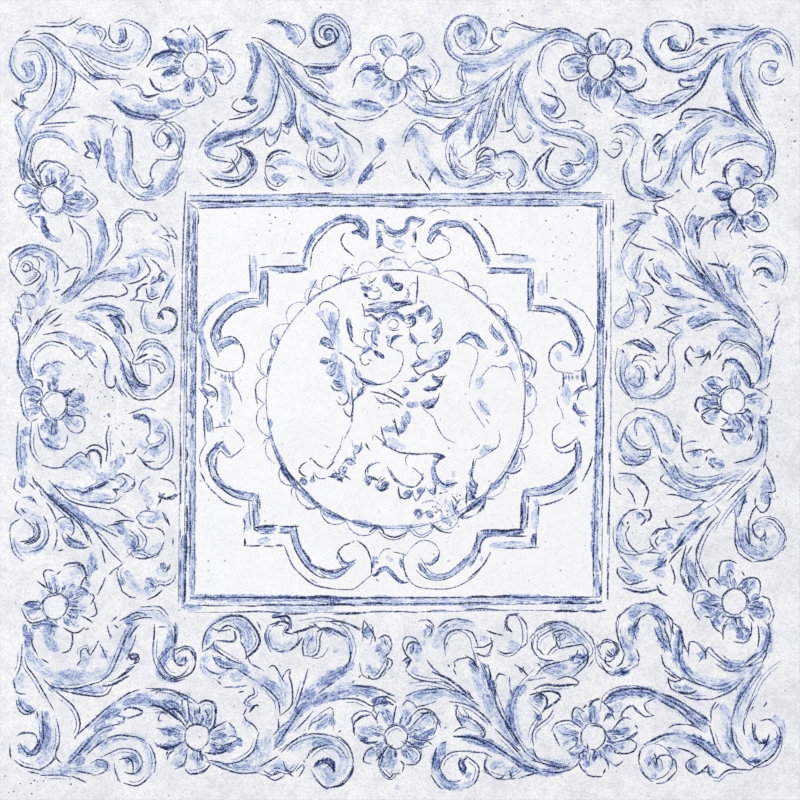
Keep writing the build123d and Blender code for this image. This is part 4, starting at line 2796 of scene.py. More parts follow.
# Ruled frame: thin lines and a flat band around the middle field, printed in the same blue.
# The lines are long strokes with short, darker dashes over them, as on a frame ruled by hand.
wash(LIGHT, 5, """
-155,151.5 80,152.2 156,152
-152,147 0,147 152,147.6
151,148 150,0 147,-147
-156,146 -156,-60 -156.5,-147
-158,-151 0,-151 148,-150
""")
wash(LIGHT, 6, """
-157,151 -140,151.3 -100,151
0,-149 12,-149
45,-154.5 66,-154.3
118,-154.5 140,-154.5
-100,-155.5 -49,-155.7
""")
wash(LIGHT, 9, """
-161,20 -161,5
""")
wash(MID, 4.5, """
-148,42 -146.5,26 -148,10
-145,-6 -143,-20 -143,-24
""")
wash(MID, 5, """
50,147.3 100,147.2 119,147
-82,146.5 -69,146.5
3,146.3 13,145.8
-150,146 -130,146 -111,145.5
149.6,144 149.6,124
151.5,99 151.5,80 151.5,50
-155.6,45 -155.6,32 -155.6,20
149.2,45 148.2,-27 146.5,-67
-155.6,-46 -155,-57 -155.2,-67.5
""")
wash(MID, 6, """
-155.6,-51 -155.4,-77 -155.6,-100
147,-50 145.7,-105 147,-129
-155.6,-100 -155.4,-124 -155.6,-147
-161.7,-101 -162.7,-129 -162,-154
148,-131 148.5,-148
74,-148.2 95,-148.5 114,-148.5
-157.5,-148.3 -137,-148.3 -49,-148.8
-22,-148.5 -7,-148.5
-164,-155 -156,-155 -148,-155
""")
wash(DEEP, 5, """
137,147 143,147 150,147
-154,142 -155,75 -155,50
149.9,67 149.6,55 149.4,49
-155,19 -155.2,-4 -154.7,-14
-154.7,-18 -154.7,-31
-148,-148.3 -137,-148.3 -128,-148.5
114,-148.8 128,-149 142,-149
-67.5,-149.4 -49,-149.4 -39,-149
""")
line(LIGHT, FINE, """
-157,153.4 80,154.6 158,154
157.5,150 158,0 156,-150
-160,-154 0,-153.6 150,-152.5
-158,-159 0,-158.8 80,-157.5 152,-158
""")
line(MID, FINE, """
-158,149 -80,149.5 158,150
-150,144 -80,145 150,145.5
152,148 152,0 151,-150
148,144 147.5,0 144.5,-146
-159,148 -160,0 -162,-152
-151.5,142 -152.5,60 -154,-146
""")
line(MID, LINE, """
-58,161 -50,160
116,158 123,157.5 134,160.3
84,155.5 105,155.6 150,155.3
-156,153 -140,153.2 -100,153
-82,152 -45,151.6 -20,151.5
-69,150.5 -80,150
159.8,150 159.6,133
159.4,128 159.4,116
-159.5,46 -159.4,20
-164,-48 -164.4,-68
-160,-60 -159.8,-70
-2,-152.7 20,-152.4 40,-152.3
86,-152.7 100,-152.5
20,-158.5 26,-157.7 33,-157.5
-21,-158.3 3,-158.5 12,-159.3
40,-164 47,-164.5 53,-166
""")
line(DEEP, LINE, """
93,150.4 105,150.2 118,150
-3,149 13,149.3
89,145.3 103,145.5 119,145
-158,144 -158,120 -158.5,100
154.2,99 153.8,75
149.2,99 149,80 149,50
-158.5,88 -159,70 -159,50
154.8,53 154.6,42
157.6,50 157.8,41
154.1,28 152,11 152.5,-17 151,-40 151.8,-48
-145,-4 -147,-8 -146,-30
151,-80 150.8,-88
-157.2,-70 -157.2,-92 -157,-115
162.6,-102 162,-109 164,-114
145.7,-90 144.8,-120 145.2,-139
155.5,-119.5 155.7,-129 155.3,-148
-155,-148 0,-148 148,-147.5
""")
line(DARK, FINE, """
-160.5,155 -161,146 -161.5,131
-161.8,128 -162.3,112 -162.6,101
-151.7,110 -152,96 -152,84
-162.8,94 -162.8,82
-162.8,80 -162.7,66 -162.6,58
-152,78 -152,64 -151.6,50
-158.8,66 -158.9,50
-162.4,57 -162.2,38 -162.4,30
157.4,35 157.4,27
157.4,24 157.4,15
-163.5,25 -164,12
-158.8,3 -159,-9
157,-52 157.2,-66
-164.5,-96 -164.5,-104
-164.5,-120 -164.5,-129
-165.7,-131 -165.5,-152
""")
line(DARK, LINE, """
-64,154.6 -51,155
66,154.4 79,155 83,154.4
-86,153.5 -76,154.3 -68,154.6
3,153.3 15,153.3 20,154
-18,153.5 -10,153.2 -2,153.3
47,150.2 64,150.2
29,150.2 40,150
-158,149 -150,149
-22,148.8 -8,148.8
-33,145.5 -19,146
-8,144.5 0,144.4 8,143.8
-149,143.5 -140,144 -131,144
154.4,146 154.4,138 154,131
-151.3,141 -150.8,132
154.4,42 154.1,28
-153,45 -153,23 -154,18
-145,30 -143,26 -143,16
-164.6,4 -164.6,-10
-164.6,-16 -164.6,-30
-164.2,-32 -164.2,-46
156.5,-39 157,-48
151.8,-48 152,-62 151.8,-67
152,-51 151.8,-58 151.6,-73
-164.5,-65 -164.2,-78
157,-72 156,-89 155.7,-99
149.4,-120 150,-128
150.4,-139 150,-147
70,-147 77,-146.6 87,-147.3
42,-152.7 50,-152 67,-151.8
-106,-154 -99,-153.4 -81,-153.4
-79,-153.5 -70,-153.7 -62,-153.7
-131,-154 -140,-154 -148,-153.7
-119,-154 -107,-154.4
49,-157.4 61,-156.3 74,-157.4
-126,-159 -104,-158.3 -90,-159.3
-85,-160 -77,-160.2 -70,-160
109,-168 120,-166 125,-167
""")
line(DARK, BOLD, """
52,154.5 60,154.2 67,154.4
-147,148.5 -120,148.5 -100,149.5
-66,146 -53,145.5
137,146 144,145 150,145
-50,145.3 -35,145.3
-159.4,-19 -159.6,-28
-159.4,-37 -159.6,-45
-159.6,-47 -160,-57
-159.6,-80 -159.2,-94 -159.6,-99
-160.3,-101 -160,-110 -160.3,-120
-160.5,-121 -160.5,-129
-160.8,-131 -161,-139 -161.3,-150
50,-148 57,-147.3 67,-147.3
-119,-147.8 -71,-148 -62,-147 -49,-147
127,-147.8 136,-147.6
-44,-148 -37,-148.2 -26,-148.5
140.5,-152.7 145,-151.6 150,-151
106,-152.5 114,-151.8 140,-152.4
-27,-152.5 -21,-152 -7,-152.7
-61,-153.5 -39,-153 -35,-154
137,-157.8 147,-158.5 153,-157.4
117,-158.3 121,-157.8 132,-158.3
-49,-160.2 -37,-159.8 -27,-159.6
""")

# Cartouche: a strap of folded leather, stepped at its corners and coiled at the middle of each side.
# It is printed as a shaded band between fine lines, with short hatching on its left and right sides.
tint(12, """
32,-76 40,-82 42,-90
""")
wash(LIGHT, 6, """
-65,122 -60,128
77,105 90,105.5 102,104
-109.5,108 -109.5,95 -109.5,80
105.5,90 106,78
-113,80.5 -128,77 -141,68.5 -146,63 -149,54
114,-71 124,-66.5 132,-58
102.6,-74 102,-80
101.6,-81 101,-97
-114,-84 -114,-98
-107,-105.4 -97,-105.4
67,-109 84,-108.5 100,-109
62,-117 60,-121
""")
wash(LIGHT, 8, """
-5,117 4,117
116,36 119,32 120,29
125,12 124,4 125,-4
-134,14 -131,6 -130,-4 -132,-14
-10,-117 -6,-121
""")
wash(MID, 2.5, """
10,126 11,120
-138.5,22 -138,19
-134,20 -133,16
124,19 124,15
133,19 133,15
129,18.5 129,15
-128,20 -127.5,13
126.5,19 126.5,14
-131,19 -130.5,13
-125,20 -125,13 -123,8
138,11 134,8 131,4
-128,-14 -127.5,-18
135,-14 136,-16 139,-20
-132,-16 -131,-19
-135,-17 -134,-20
-20,-118 -16,-119
-46,-115 -43,-121 -38,-123
28,-117 24,-122 19,-122
-20,-117 -20,-126
-20,-121.5 -16,-121.5
0,-118 1,-126
""")
wash(MID, 4.5, """
4,130 6,134 9,136 13,134 17,134
-50,132 -42,134.5 -34,133.5 -29,129 -26,122
24,129 30,132.5 38,133 50,129 60,116 64,109
-17,130 -15,119 -17,114
-103,97 -103,86 -103,77
97.5,98 97.5,86 97,72
130,56 134,50 135.5,44 134,38 131,34
-139,50 -138,42 -136,36
-136,38 -133,42 -127,44 -121,42
121,43 126,41 129,37
-141,-50 -141,-42 -138,-36 -134,-33 -131,-37 -127,-41
134,-31 134,-42 132,-52
-108.5,-72 -109,-82 -109,-92
92,-72 92.5,-84 92,-94
16,-126 21,-130.5 27,-133 34,-132 42,-128 55,-115 58,-107
-60,-127 -54,-130 -48,-131 -42,-128 -34,-121
""")
wash(MID, 5, """
22,124 26,128 32,131.5 44,132 50,129 55,124 60,116 64,110 66,101
-72,102 -70,112 -65,122 -55,131 -50,134
-98,98 -85,98 -69,98
67,97 80,97 96,97
-100.5,97 -102,82 -102.5,73
97,96 97.4,82 97.4,67
-102,73 -118,71.5 -125,68.5 -131,63 -136,57 -138,50
101,69.3 111,69 120,67 130,58 133,49
-127.5,66 -133,60 -136.4,54 -138,49
128,59 132,53 135,46 135,37.5 132,34
-140,-39 -142,-45 -140,-52.5 -135,-61 -128,-67
133,-45 130,-53 124,-60 114,-65 97,-67.5
""")
wash(MID, 5.5, """
79,42 78,37 75,34
50,-62 54,-72 56,-74
""")
wash(MID, 6, """
131,-50 128,-56 123,-62 110,-68 101,-69 95,-68.4 92,-69
-142,-50 -139,-56 -134,-63 -128,-67 -123,-70 -109,-72 -106,-73.5
93,-70 94,-76
-108,-80 -107,-94
93.7,-78 92.7,-97
-90,-97 -80,-97
48,-124 53,-121 57,-114 60,-105 63,-101 67,-99
61,-100 59,-105 57,-112 51,-123
-80,-97 -78,-107 -74,-115 -67,-124 -62,-128
""")
wash(DEEP, 4, """
-18,133 -15,134 -11,132
-12,131 -9,127 -4,125 1,126 5,129 7,133
-36,125 -31,126 -24,120
21,118 23,123 27,126 31,126
137,23 138,18 137,13
-143,5 -140,5 -139,2
131,-2 131,-6 134,-9 139,-10
14,-122 16,-126 20,-130
-20,-132 -17,-130 -14,-127 -10,-126.5 -7,-129 -1,-135 3,-136
""")
wash(DEEP, 5, """
62,113 65,107 66,101
-12,88 -11,92 -8,92 -7,88 -5,85
-107,-74 -106.4,-78
-107,-96.5 -93,-96.5
62,-99.8 77,-99.6 93,-98.8
100,-100 99.8,-109
""")
wash(DEEP, 7, """
-50,134.5 -43,136 -36,136 -30,133 -26,128 -25,122
""")
line(MID, FINE, """
23,140 27,142.5 33,142 37,140
-50,129.5 -44,132.5 -37,133 -32,130 -29,125
-9,130 -6,127.5 -2,127
33,120 36,119 38,114 37,110 33,107
-12,115 -3,110.5 2,110.5
19,106.5 16,108 14,111
133,56 136,50 137.5,43 136,36 132,33 129,33.5
120,11 119,8
117.5,2 118,-3 121,-8 122,-13
-139,-21 -134,-20 -128,-19.5
132,-29 135,-34 136,-42 135,-50
50,-66 50,-73 50,-79
-36,-106.5 -34,-105.5
6,-114 9,-110 14,-106 19,-105 24,-106.5 28,-110 29.5,-115
57,-105 54,-113 50,-120
24,-123 19,-123 16,-119
19,-124 23,-129 30,-130.5 38,-128 51,-116
-17,-127 -13,-125 -9,-125.5 -5,-129
-60,-130 -54,-133.5 -48,-133.5 -42,-130 -38,-126
""")
line(MID, LINE, """
61,131 65,127 68,122
-72,102 -70,112 -66,121
-88,110 -77,110
-104,109 -100,109
88,108.6 96,108
-104,94 -105,82 -105,76
96,67 96,80 96,94
124,75 130,71 136,67
-135,74.5 -142,69 -147,62
-108,76 -115,75.5 -128,69.5 -139,57 -141,50
137,-60 141,-51.5
-146,-61 -142,-66.5 -138,-70
-137,-71 -133,-75 -127,-78 -120,-79.6
-105,-100 -94,-99.6
-102,-109.4 -94,-109.6
-86,-110.5 -81,-123 -76,-129
-67,-134 -62,-137
""")
line(DEEP, FINE, """
5,131 8,137 18,135
-18,130 -16,131
-52,132 -46,135 -38,136 -32,134 -27,130 -24,121
-18,126 -13,126
-12,127 -8,123 -2,122 3,124 7,128
46,134 52,131 61,117 65,108
-18,120 -13,120.5
47,131 57,119 62,104
100,97 100,88 99.5,78
-134,52 -134,46
129,52 132,46 133,40 131,36
-141,52 -141,44 -138,38 -136,33
-135,36 -131,40 -126,42
131,22 135,22 140,28 145,40 146,50
-118,26 -122,22 -128,21 -139,24 -143,28
117,22 123,20.5 129,20
136,22 136,14
139,22 139.5,15 141,9 143,8
141,11 136,10 131,6 130,4
-125,13 -120,4 -119,0
130,-3 131,-8 135,-12 140,-11.5
-126,-8 -126,-11
135,-13 135,-17 138,-16
119,-18 115,-21 114,-27 114.5,-32
-123,-23 -119,-27 -117,-31
-117,-35 -121,-39 -126,-43
-137,-50 -137,-42 -134,-38 -129,-43 -125,-41
144,-43 141,-51 139,-56
-106,-71 -106.5,-78 -106.5,-86
-113,-74 -113,-82 -112,-92
26,-108 28.5,-111
-15,-116 -12,-112 -8,-111.5
-46,-120 -43,-125 -40,-127
-60,-125 -54,-127.5 -47,-127 -42,-125
-21,-131 -18,-130.5 -15,-127
13,-128 17,-132 23,-134.5 30,-135 37,-133 44,-129
-18,-134 -16,-136
5,-133 10,-138 18,-141 38,-141 53,-134 60,-127
-60,-139 -54,-141 -38,-142 -32,-140 -24,-133 -21,-131
""")
line(DEEP, LINE, """
15,134 18,135 17,132 14,130
22,126 24,130 28,132 33,133
-37,125 -33,127 -29,125
-67,101 -66,110 -63,117 -53,128 -48,131 -40,133 -34,133
21,120 23,117 27,123 31,124 36,121
-42,124 -44,121 -43.5,117 -41,113 -35,108
-18,113.5 -12,117
8,115 12,115
19,106.5 25,104.5 32,107
66,99 88,98 97,98.3
65,95 73,95
83,95 96,95
-121,80.5 -113,80.2
97,67 111,66 115,64.6
101,70.7 110,69.7 124,64.6 132,56 136,49
128,61 134,53 137,43 134.5,33
-136,45 -127,47.5 -122,45 -118,39 -116.5,32 -118,26
128,38 126,42 122,44 117,42 113,38 111.5,32 113,26 117,22
143,9 138,8 134,5 133,1
114.5,-31 118,-35 122,-35.5 127,-33 132,-28.5
114.5,-32 117,-37 121,-39.5 126,-39 130,-37 132,-33
-145,-48 -144,-41 -133,-31.5
131,-34 132,-44 130,-52 127,-56
-138,-45 -138,-52 -136,-57
131.6,-33 131.6,-45 129,-52 120,-61 109,-66
-142,-55 -136,-63
95.5,-72 109,-71 120,-66.5 126,-62 131,-57
-109.7,-81 -109.2,-95
60,-114 61,-106 64,-103 67,-102.6
-42,-109 -37,-107
62,-104 57,-118 53,-124
29.5,-114 28,-120 23,-123.5
-45,-116 -43,-120 -39,-122 -34,-120
0,-120 3,-120
-22,-119 -21,-124 -21.5,-129
3,-117 2,-121 5,-132 9,-137
-3,-134 0,-137 5,-136.5
""")
line(DARK, FINE, """
-112.5,109 -112,82
-112,82 -112,90 -113,100
110,96 110,80
137,67 141,61 145,54
-142,52 -141.5,44
-143,-10 -141,-14 -140,-23
58,-99 57,-104
-4,-114 1,-115 4,-116
""")
line(DARK, LINE, """
55,135.5 57,134.5
55,136 58,134
60,132 64,127 68,122
11.5,126 12,123 11.5,119
60,132 67,124 72,111
37,129 44,130 49,128 54,123 58,116 62,104
73,109 83,109 88,108.7
-104,99 -98,100 -85,100 -72,101
-84,95.5 -73,96
-91,95 -87,95.5
-99,94 -99,82 -99.5,70
99,85 100,75
112,77 118,75.5
-107,69.5 -114,69.5 -126,64.5
-124,66 -133,56 -135,46
-131,66 -139,55 -141,46
-129,61 -134,55 -135.5,50
127,58 130,53 133,49
127,58 132.6,49 133.5,43 132.6,38 131,36
122,20 122.5,13 122,11
-145,12 -141,10.5 -138,8 -136.5,4 -137,0
-140,-4 -142,-6
144,-43 141.5,-51 137,-60
-138,-35 -142,-39 -144,-44 -142,-55 -138,-61 -127,-67
-143,-51 -140,-59 -135,-65 -124,-72.6 -111.6,-75.4
126,-71 133,-65.6
-127.5,-66.5 -122,-69 -118,-70.7
92,-69 92.3,-76
96.5,-72 96,-77
105,-79 114,-77 121,-74
40,-73 43,-77 41,-82
-105,-74 -105,-82
104,-78 103.5,-87
96,-79 95,-96
-117,-90 -116,-93 -116.7,-98
-89,-94.6 -81,-94.8 -77,-94.6
-109,-94 -109,-97 -107,-98
-91,-99.3 -82,-99.8
63,-102 69,-102
79,-102 95,-102
-78,-94.6 -75.5,-107 -73,-112
102,-97 101.6,-110.5
58,-99 57,-109
-116,-109 -109,-109.3 -105,-109
93,-111 99,-110.5 102.6,-110.4
79,-111 88,-111
-31,-106 -27,-109 -24,-113 -22,-119
-47,-118 -46,-113 -42,-109
68,-114 66,-118
-82,-100 -78,-113 -70,-125 -61,-132 -57,-133
52,-133 62,-124 67,-115
-67,-123 -63,-125.5 -53,-128.8 -48,-128.8 -39,-124.6
-66,-123 -61,-126 -55,-128 -49,-128.8
-76,-129 -65,-138 -52,-141
-62,-139 -57,-140.5 -52,-141
""")
line(DARK, BOLD, """
133,-65.6 130,-67.5
91,-78 91,-88 90.4,-96.5
-108,-95.5 -101,-94.6 -93,-94
61,-98.2 67,-97.4 80,-98 86,-97 91,-97
-116.3,-103.5 -116,-109
-93,-109 -87,-108.7
-73,-112 -69,-118 -66,-123
""")

# Roundel: a ring round the lion with a scalloped rim, in a fine line and a narrow band of thin blue.
# The scallops are drawn one after another, from bearing to bearing, and some are much fainter.
RING_X = -3.3
RING_Y = 0.7
RING_RADIUS = 97
CUSPS = (8, 22, 34, 46, 58, 71, 84, 98, 107, 115, 124, 133, 145, 157, 170, 182, 197, 210, 221, 235, 248, 262,
         276, 287, 299, 312, 326, 339, 352, 368)
CLEAR_SCALLOPS = (8, 46, 115, 170, 182, 210, 221, 235, 248, 262, 276)
SCALLOP_SHAPE = ((0, 1), (0.18, 6), (0.5, 8.5), (0.82, 6), (1, 1))


def scallop(first, last):
    """Row of points along one scallop outside the ring, between two bearings in degrees."""
    points = []
    for share, height in SCALLOP_SHAPE:
        bearing = np.radians(first + (last - first) * share)
        radius = RING_RADIUS + height
        points.append(f"{RING_X + radius * np.cos(bearing):.1f},{RING_Y + radius * np.sin(bearing):.1f}")
    return " ".join(points)


for first, last in zip(CUSPS, CUSPS[1:]):
    line(MID if first in CLEAR_SCALLOPS else PALE, FINE, scallop(first, last))
line(LIGHT, FINE, arc(RING_X, RING_Y, RING_RADIUS, 0, 360))
wash(LIGHT, 3.5, """
77,62 83,54 87,46 89,40
-98,-20 -95,-33 -84,-55 -78,-63
64,-72 72,-64 80,-54 89,-38
-77,-66 -62,-79 -52,-86 -40,-90.5
-38,-91 -28,-94 -18,-95 4,-95 22,-92.5
""")
wash(LIGHT, 6, """
22,96.6 27,95
-66,84 -63,90
78,61 82,63
-61,-80 -55,-84 -49,-88
30,-87 38,-93
-9,-95.5 5,-96 17,-94.6
""")
wash(LIGHT, 7, """
82,28 85,25 86,22
""")
wash(LIGHT, 8, """
-12,102 -6,102
""")
wash(LIGHT, 9, """
100,24 98,20
""")
wash(MID, 5, """
77,62 82,53 88,43
-95,49 -92,46 -91,42
94,28 96,22
96,12 96.5,2
-98,-14 -97,-21
89,-38 86,-46 83,-52.5
-73,-59 -72,-63
-85,-56 -81,-62 -77,-67
77,-59 70,-65
""")
wash(MID, 5.5, """
68,56 70,52 74,48 78,43
-73,-58 -72,-63
""")
wash(MID, 6, """
67,-67 74,-61
-76,-66.5 -69,-72 -65,-78
50,-83 58,-77 64,-71
-59,-81.5 -52,-86 -44,-89
-36,-91 -27,-93 -19,-94.6
""")
wash(DEEP, 4, """
-12,92 -10,92 -8,92
-75,-62 -73,-58
51,-70 53,-73
20,-84 23,-87 25,-86
""")
wash(DEEP, 5, """
-93,42 -91,44
-89,-49 -84,-57 -78,-64
81,-57 80,-59
-72,-59 -71,-64
51,-70 54,-73
20,-84 22,-86 24,-88
45,-88 48,-87
24,-93 25,-96
""")
wash(DEEP, 8, """
52.5,-65 54,-67 53,-72 55,-74
""")
line(MID, FINE, """
4,104 6,100 8,99
""")
line(DEEP, FINE, """
26,100 28,98 29,95
-14,97.5 -9,97 -4,97.5 3,97
-36,97 -36,94
-44,88 -43,93 -38,99
44,95 50.5,89 51,85
-44,88 -39,90 -33,91.5
-69,72 -67.5,80 -63,89
-70,71 -67,74 -60,80
56,79 68,67 74,62 79,56
69,57 70,54 78,45 80,41
80,58 84,51 88,38
-95,40 -97,46 -95,52
-94,40 -91,43 -92,46
89,38 95,34.5 100,30
102,28 102,23 100.5,18
-107,26 -104,20 -100,18
94,14 98,12 102,6
101,-5 102.5,-3
93,-13 96,-11 98,-9.5
-96,-28 -100,-29 -102,-32
90,-36 92.5,-36.5 96,-34
91,-37 93,-42 93.5,-46
-90,-44 -87,-49 -79,-63
80,-54 85,-54.5 90,-52
81,-55 81,-60
-80,-66 -81.5,-68 -81,-71
53,-68 54,-73 57,-74
-79,-65 -70,-71 -62,-80
63,-72 66,-74 70,-74
64,-73 63.5,-78 62,-82 59,-84
-61,-80 -68,-82 -70,-80
44,-88 46,-86 62,-73
46,-88 50,-88.5 54,-87
24,-93 27,-96 32,-98.5 36,-99
8,-95 5,-98 2,-101
9,-96 13,-100 17,-101 22,-98
""")
line(DEEP, LINE, """
-15,103 -11,106 -5,107
-44,88 -43,94 -39,99
-68,75 -62,79 -44,88
50,82.5 58,77 79,58 83,50
-96,48 -97,44 -95,39
-96,33 -98,27 -99.4,20
89,38 92.7,23 93.7,14
93.7,2 93,-7 92.7,-14
-95,-35 -92,-43 -88,-49
92,-24 89.5,-33 79,-55 67,-67
-92,-44 -84,-58 -80,-64
-88,-49 -83,-55 -76,-67
52,-66 54,-71 57,-74
-70,-81 -66,-82 -61,-79.6
-60,-80.6 -51,-86 -35,-91
-35,-91 -30,-92.7 -16,-94.3
""")
line(DARK, FINE, """
-23,87.5 -20,89 -18.5,91
-30,88.5 -28.5,86.5
49,-72 50,-78
39,-76 40,-80 41,-84
27,-84 30,-82 31,-84
""")
line(DARK, LINE, """
17.5,102 21.5,102
-4,97.4 5,97
44,95 50,89 51,84
-44,88 -38,90 -31,91.4
69,67.5 81,56 89,38
90,38 95,35 101,29.5
102,27 101.6,21.6 100,18
93.6,14 93.7,2
-107,-2 -108,4 -108,7
93,-14 92,-24
90,-52 88,-54 83,-55 79,-54
-86,-50 -82,-56 -61,-79
53,-67 55,-73
50,-69 49,-78
42,-79 45,-74
67,-67 59,-77 45,-87
23,-92 30,-98 36,-99.3
-12,-100 -4,-102.8 5,-99
""")
line(DARK, BOLD, """
64,-72.6 63,-78 59,-83.4
-22,-98.4 -16,-94.6 -12.7,-98.4
""")

# Lion: a crowned lion on its hind legs, an old heraldic figure, drawn small in the middle of the tile.
# It has few outlines: short dabs of full blue make the mane, the tufts and the claws.
tint(12, """
-51,66 -50,56 -49,46
-56,68 -48,44 -46,34
20,24 26,32 32,34
-46,28 -46,18 -42,8
""")
wash(LIGHT, 7, """
-63,65 -60,64 -59,62
-24,56 -20,56 -17,57
-51,66 -49,50 -50,42
-50,35 -49,30 -54,19
-34,20 -34,14 -31,11
58,8 60,14 61,17
-37,4 -36,-4
59,0 61,-4 67,-11
-10,-29 -4,-33 4,-36
60,-41 64,-37 68,-35
40,-53 40,-58
33,-62 38,-63 41,-60
30,-66 36,-64
2,-71 6,-71 9,-68
""")
wash(LIGHT, 8, """
-34,24 -33,19 -31,14
-46,30 -44,12 -40,4
""")
wash(MID, 5, """
-20,69.5 0,71.5 8,72.5
20,70 21,65 20,59
-13,60 -10,63 -6,65
-38,58 -37.5,52 -36.5,48
8,50 9,46 13,42
-19,52 -19.5,46 -18.5,40
-28,35 -25,38 -21,39
9,25 14,28 20,29
-52,20 -50,25 -47,28
-30,9 -29,6 -32,3
5,-2 8,-4 13,-3
5,-8 6,-13 7,-17
2,-14 3,-19 4,-22
-10,-22 -5,-22 -1,-23
-34,-34 -31,-37 -28,-35
-40,-45 -36,-45 -34,-43
25,-49 25,-55 28,-61 34,-64 40,-62
13,-69 16,-66
2,-71 6,-70 9,-68
""")
wash(MID, 5.5, """
15,74 18,73
-22,71 -10,71.5 0,72
20,71 22,67 22,62 20,58
12,65 15,64.5 18,64
-14,60 -10,64 -4,65 0,63 3,59
6,63 9,63 11,60 10,56
25,49 27,52 29,55
44,43 51,48.5 56,48 60,46
-7,43 -4,47 0,48.5
-17,55 -19,48 -19,42 -17,39.5
-10,48 -8,46 -8,42
57,46 60,42 64,39
-58,42 -54,44 -51,40
-28,36 -25,38.5 -21,38
-60,29 -56,29.5 -52,28
9,25 13,27 18,29
-55,21 -51,20 -49,23
2,9 5,8
16,-3 20,-1 24,-2 28,1
6,-4 10,-3 14,-4
6,-10 6,-14 5,-18
2,-12 3,-18 2,-22
-13,-22 -9,-22 -5,-22.5
-12,-31 -10,-34
-34,-35 -32,-37 -30,-39
-41,-44 -37,-46 -33,-47
25,-45 28,-48
53,-52 53,-57
25,-50 26,-58 30,-62
-66,-58 -65,-62
-14,-61 -11,-63 -9,-66
22,-67 25,-69 26,-65
13,-70 16,-68 18,-66
""")
wash(DEEP, 4, """
-12,88 -10,90 -8,89 -6,86
-4,84 0,83 1,86
-12,68.5 -7,69
-18,62 -15,59
6,59 8,62 11,60 10,56
26,48 28,51 30,54
25,46 27,48
-6,44 -4,47 0,48
-58,46 -54,45
-60,42 -56,44 -52,40
31,31 34,33 36,36
29,30 32,33
29,26 32,29 35,34
-60,29 -56,28 -52,30
9,14 11,16 13,14
26,15 29,14 31,13
-30,16 -24,13 -18,12
-50,13 -47,13 -45,11
20,8.5 25,8 28,10
2,3 5,5 6,8
17,-4 21,-2 25,0
20,-5 24,-4 27,-1
-43,-53 -42,-50
-48,-57 -46,-55
-66,-60 -65,-57
-45,-60 -42,-58
-26,-59 -24,-62 -22,-63
52,-61 54,-65 56,-64
-14,-66 -12,-63 -9,-62
11,-87 13,-83 15,-84
""")
wash(DEEP, 5, """
-5,86 0,87
-29,85 -25,82.5 -21,84
-27,79 -24,78
0,72 5,73 9,73
-26,67 -18,67 0,69.5
14,65.5 17,67 19,69
-20,43 -17,41
-19,37 -16,34 -13,31.5
30,28 32,31 35,35
8,14 11,16 13,14
24,17 28,15 30,12 28,10
-30,15 -24,12.5 -17,12
-50,15 -47,12 -43,10
18,8.5 22,8 27,9
2,5 5,3
22,-1 24,-3
-2,-24 0,-23 4,-22
25,-41 29,-42 33,-43
-45,-51 -42,-52 -41,-55
-52,-57 -48,-57 -44,-60
-27,-61 -24,-59 -22,-62
53,-60 56,-63 57,-66
-17,-65 -13,-66 -10,-64
11,-85 13,-83 15,-86 13,-89
""")
wash(DARK, 3.5, """
-29,84 -25,82.5 -21,83
-27,80 -24,77
-26,67 -22,67.5 -18,67
18,68 16,66 14,64
-20,43 -17,41
-17,36 -14,33 -12,31
25,-42 29,-43 32,-42
-15,-67 -13,-65
""")
line(LIGHT, FINE, """
-33,40 -30,40 -28,39
50,43 58,37 57,27 53,17 52,10
-43,-28 -44,-32 -45,-36
-36,-30 -35,-36
-57,-34 -52,-36
17,-77 21,-75.5 26,-76 29,-78
""")
line(MID, FINE, """
8,86 10,88 12,87
6,83 6,80 4,77
-24,83 -26,79 -23,76 -18,75.5 -15,78 -14.5,82 -17,84
4,60 6,62 9,61 9,58 6,57 4,58
-46,66 -45.5,62 -48,56 -49,50
-60,62 -57,58 -54,53
-9,57 -7,60 -4,60.5 -1.5,58 -2,54.5 -5,53.5 -8,54.5
-40,59 -39.5,54 -38,48
-8,53 -5,52 -2,52.5
67,52 70,48 74,44
-21,49 -21,42
7,53 8,48 10,44 12,42 13,40
-26,50 -27,46 -24,42
-38,46 -35,43 -32,41
58,47 62,44 65,39
44,42 47,43.5 50,42
56,46 59,41 64,38.5
-9,41 -6,39 1,36
-30,31 -29,34 -26,36
-6,16 -3,18 0,22 2,27 2.5,32 1,36
10,24 13,20 16,19 22,22 27,24
60,14 61,17 67,24.5 71,25.5 75,24.5 80,25 83,23 86,15
16,-4 19,-6 23,-6 28,0 29,4
59,0 61,-4 67,-11
52,-2 55,-8 63,-20
64,-14 67,-18
18,-7 25,-13 27,-18 33,-28 40,-31.5
-37,-20 -39,-24 -41,-28
-14,-23 -13,-28
-20,-26 -20.5,-30
-29,-33 -29.5,-38
54,-37 57,-36 59,-34
74,-24 75,-29 73,-35 69,-38 60,-43.5 58,-44
64,-36 66,-38 70,-36
-45,-36 -48,-41 -51,-47
7,-40 4,-44 5,-48
-42,-47 -39,-43 -36,-45
28,-46 31,-44
57,-45 54,-55 55,-60
10,-51 16,-56 17,-59
26,-48 26,-55 28,-60 37,-65 42,-62
10,-70 12,-76 18,-68 19,-65
""")
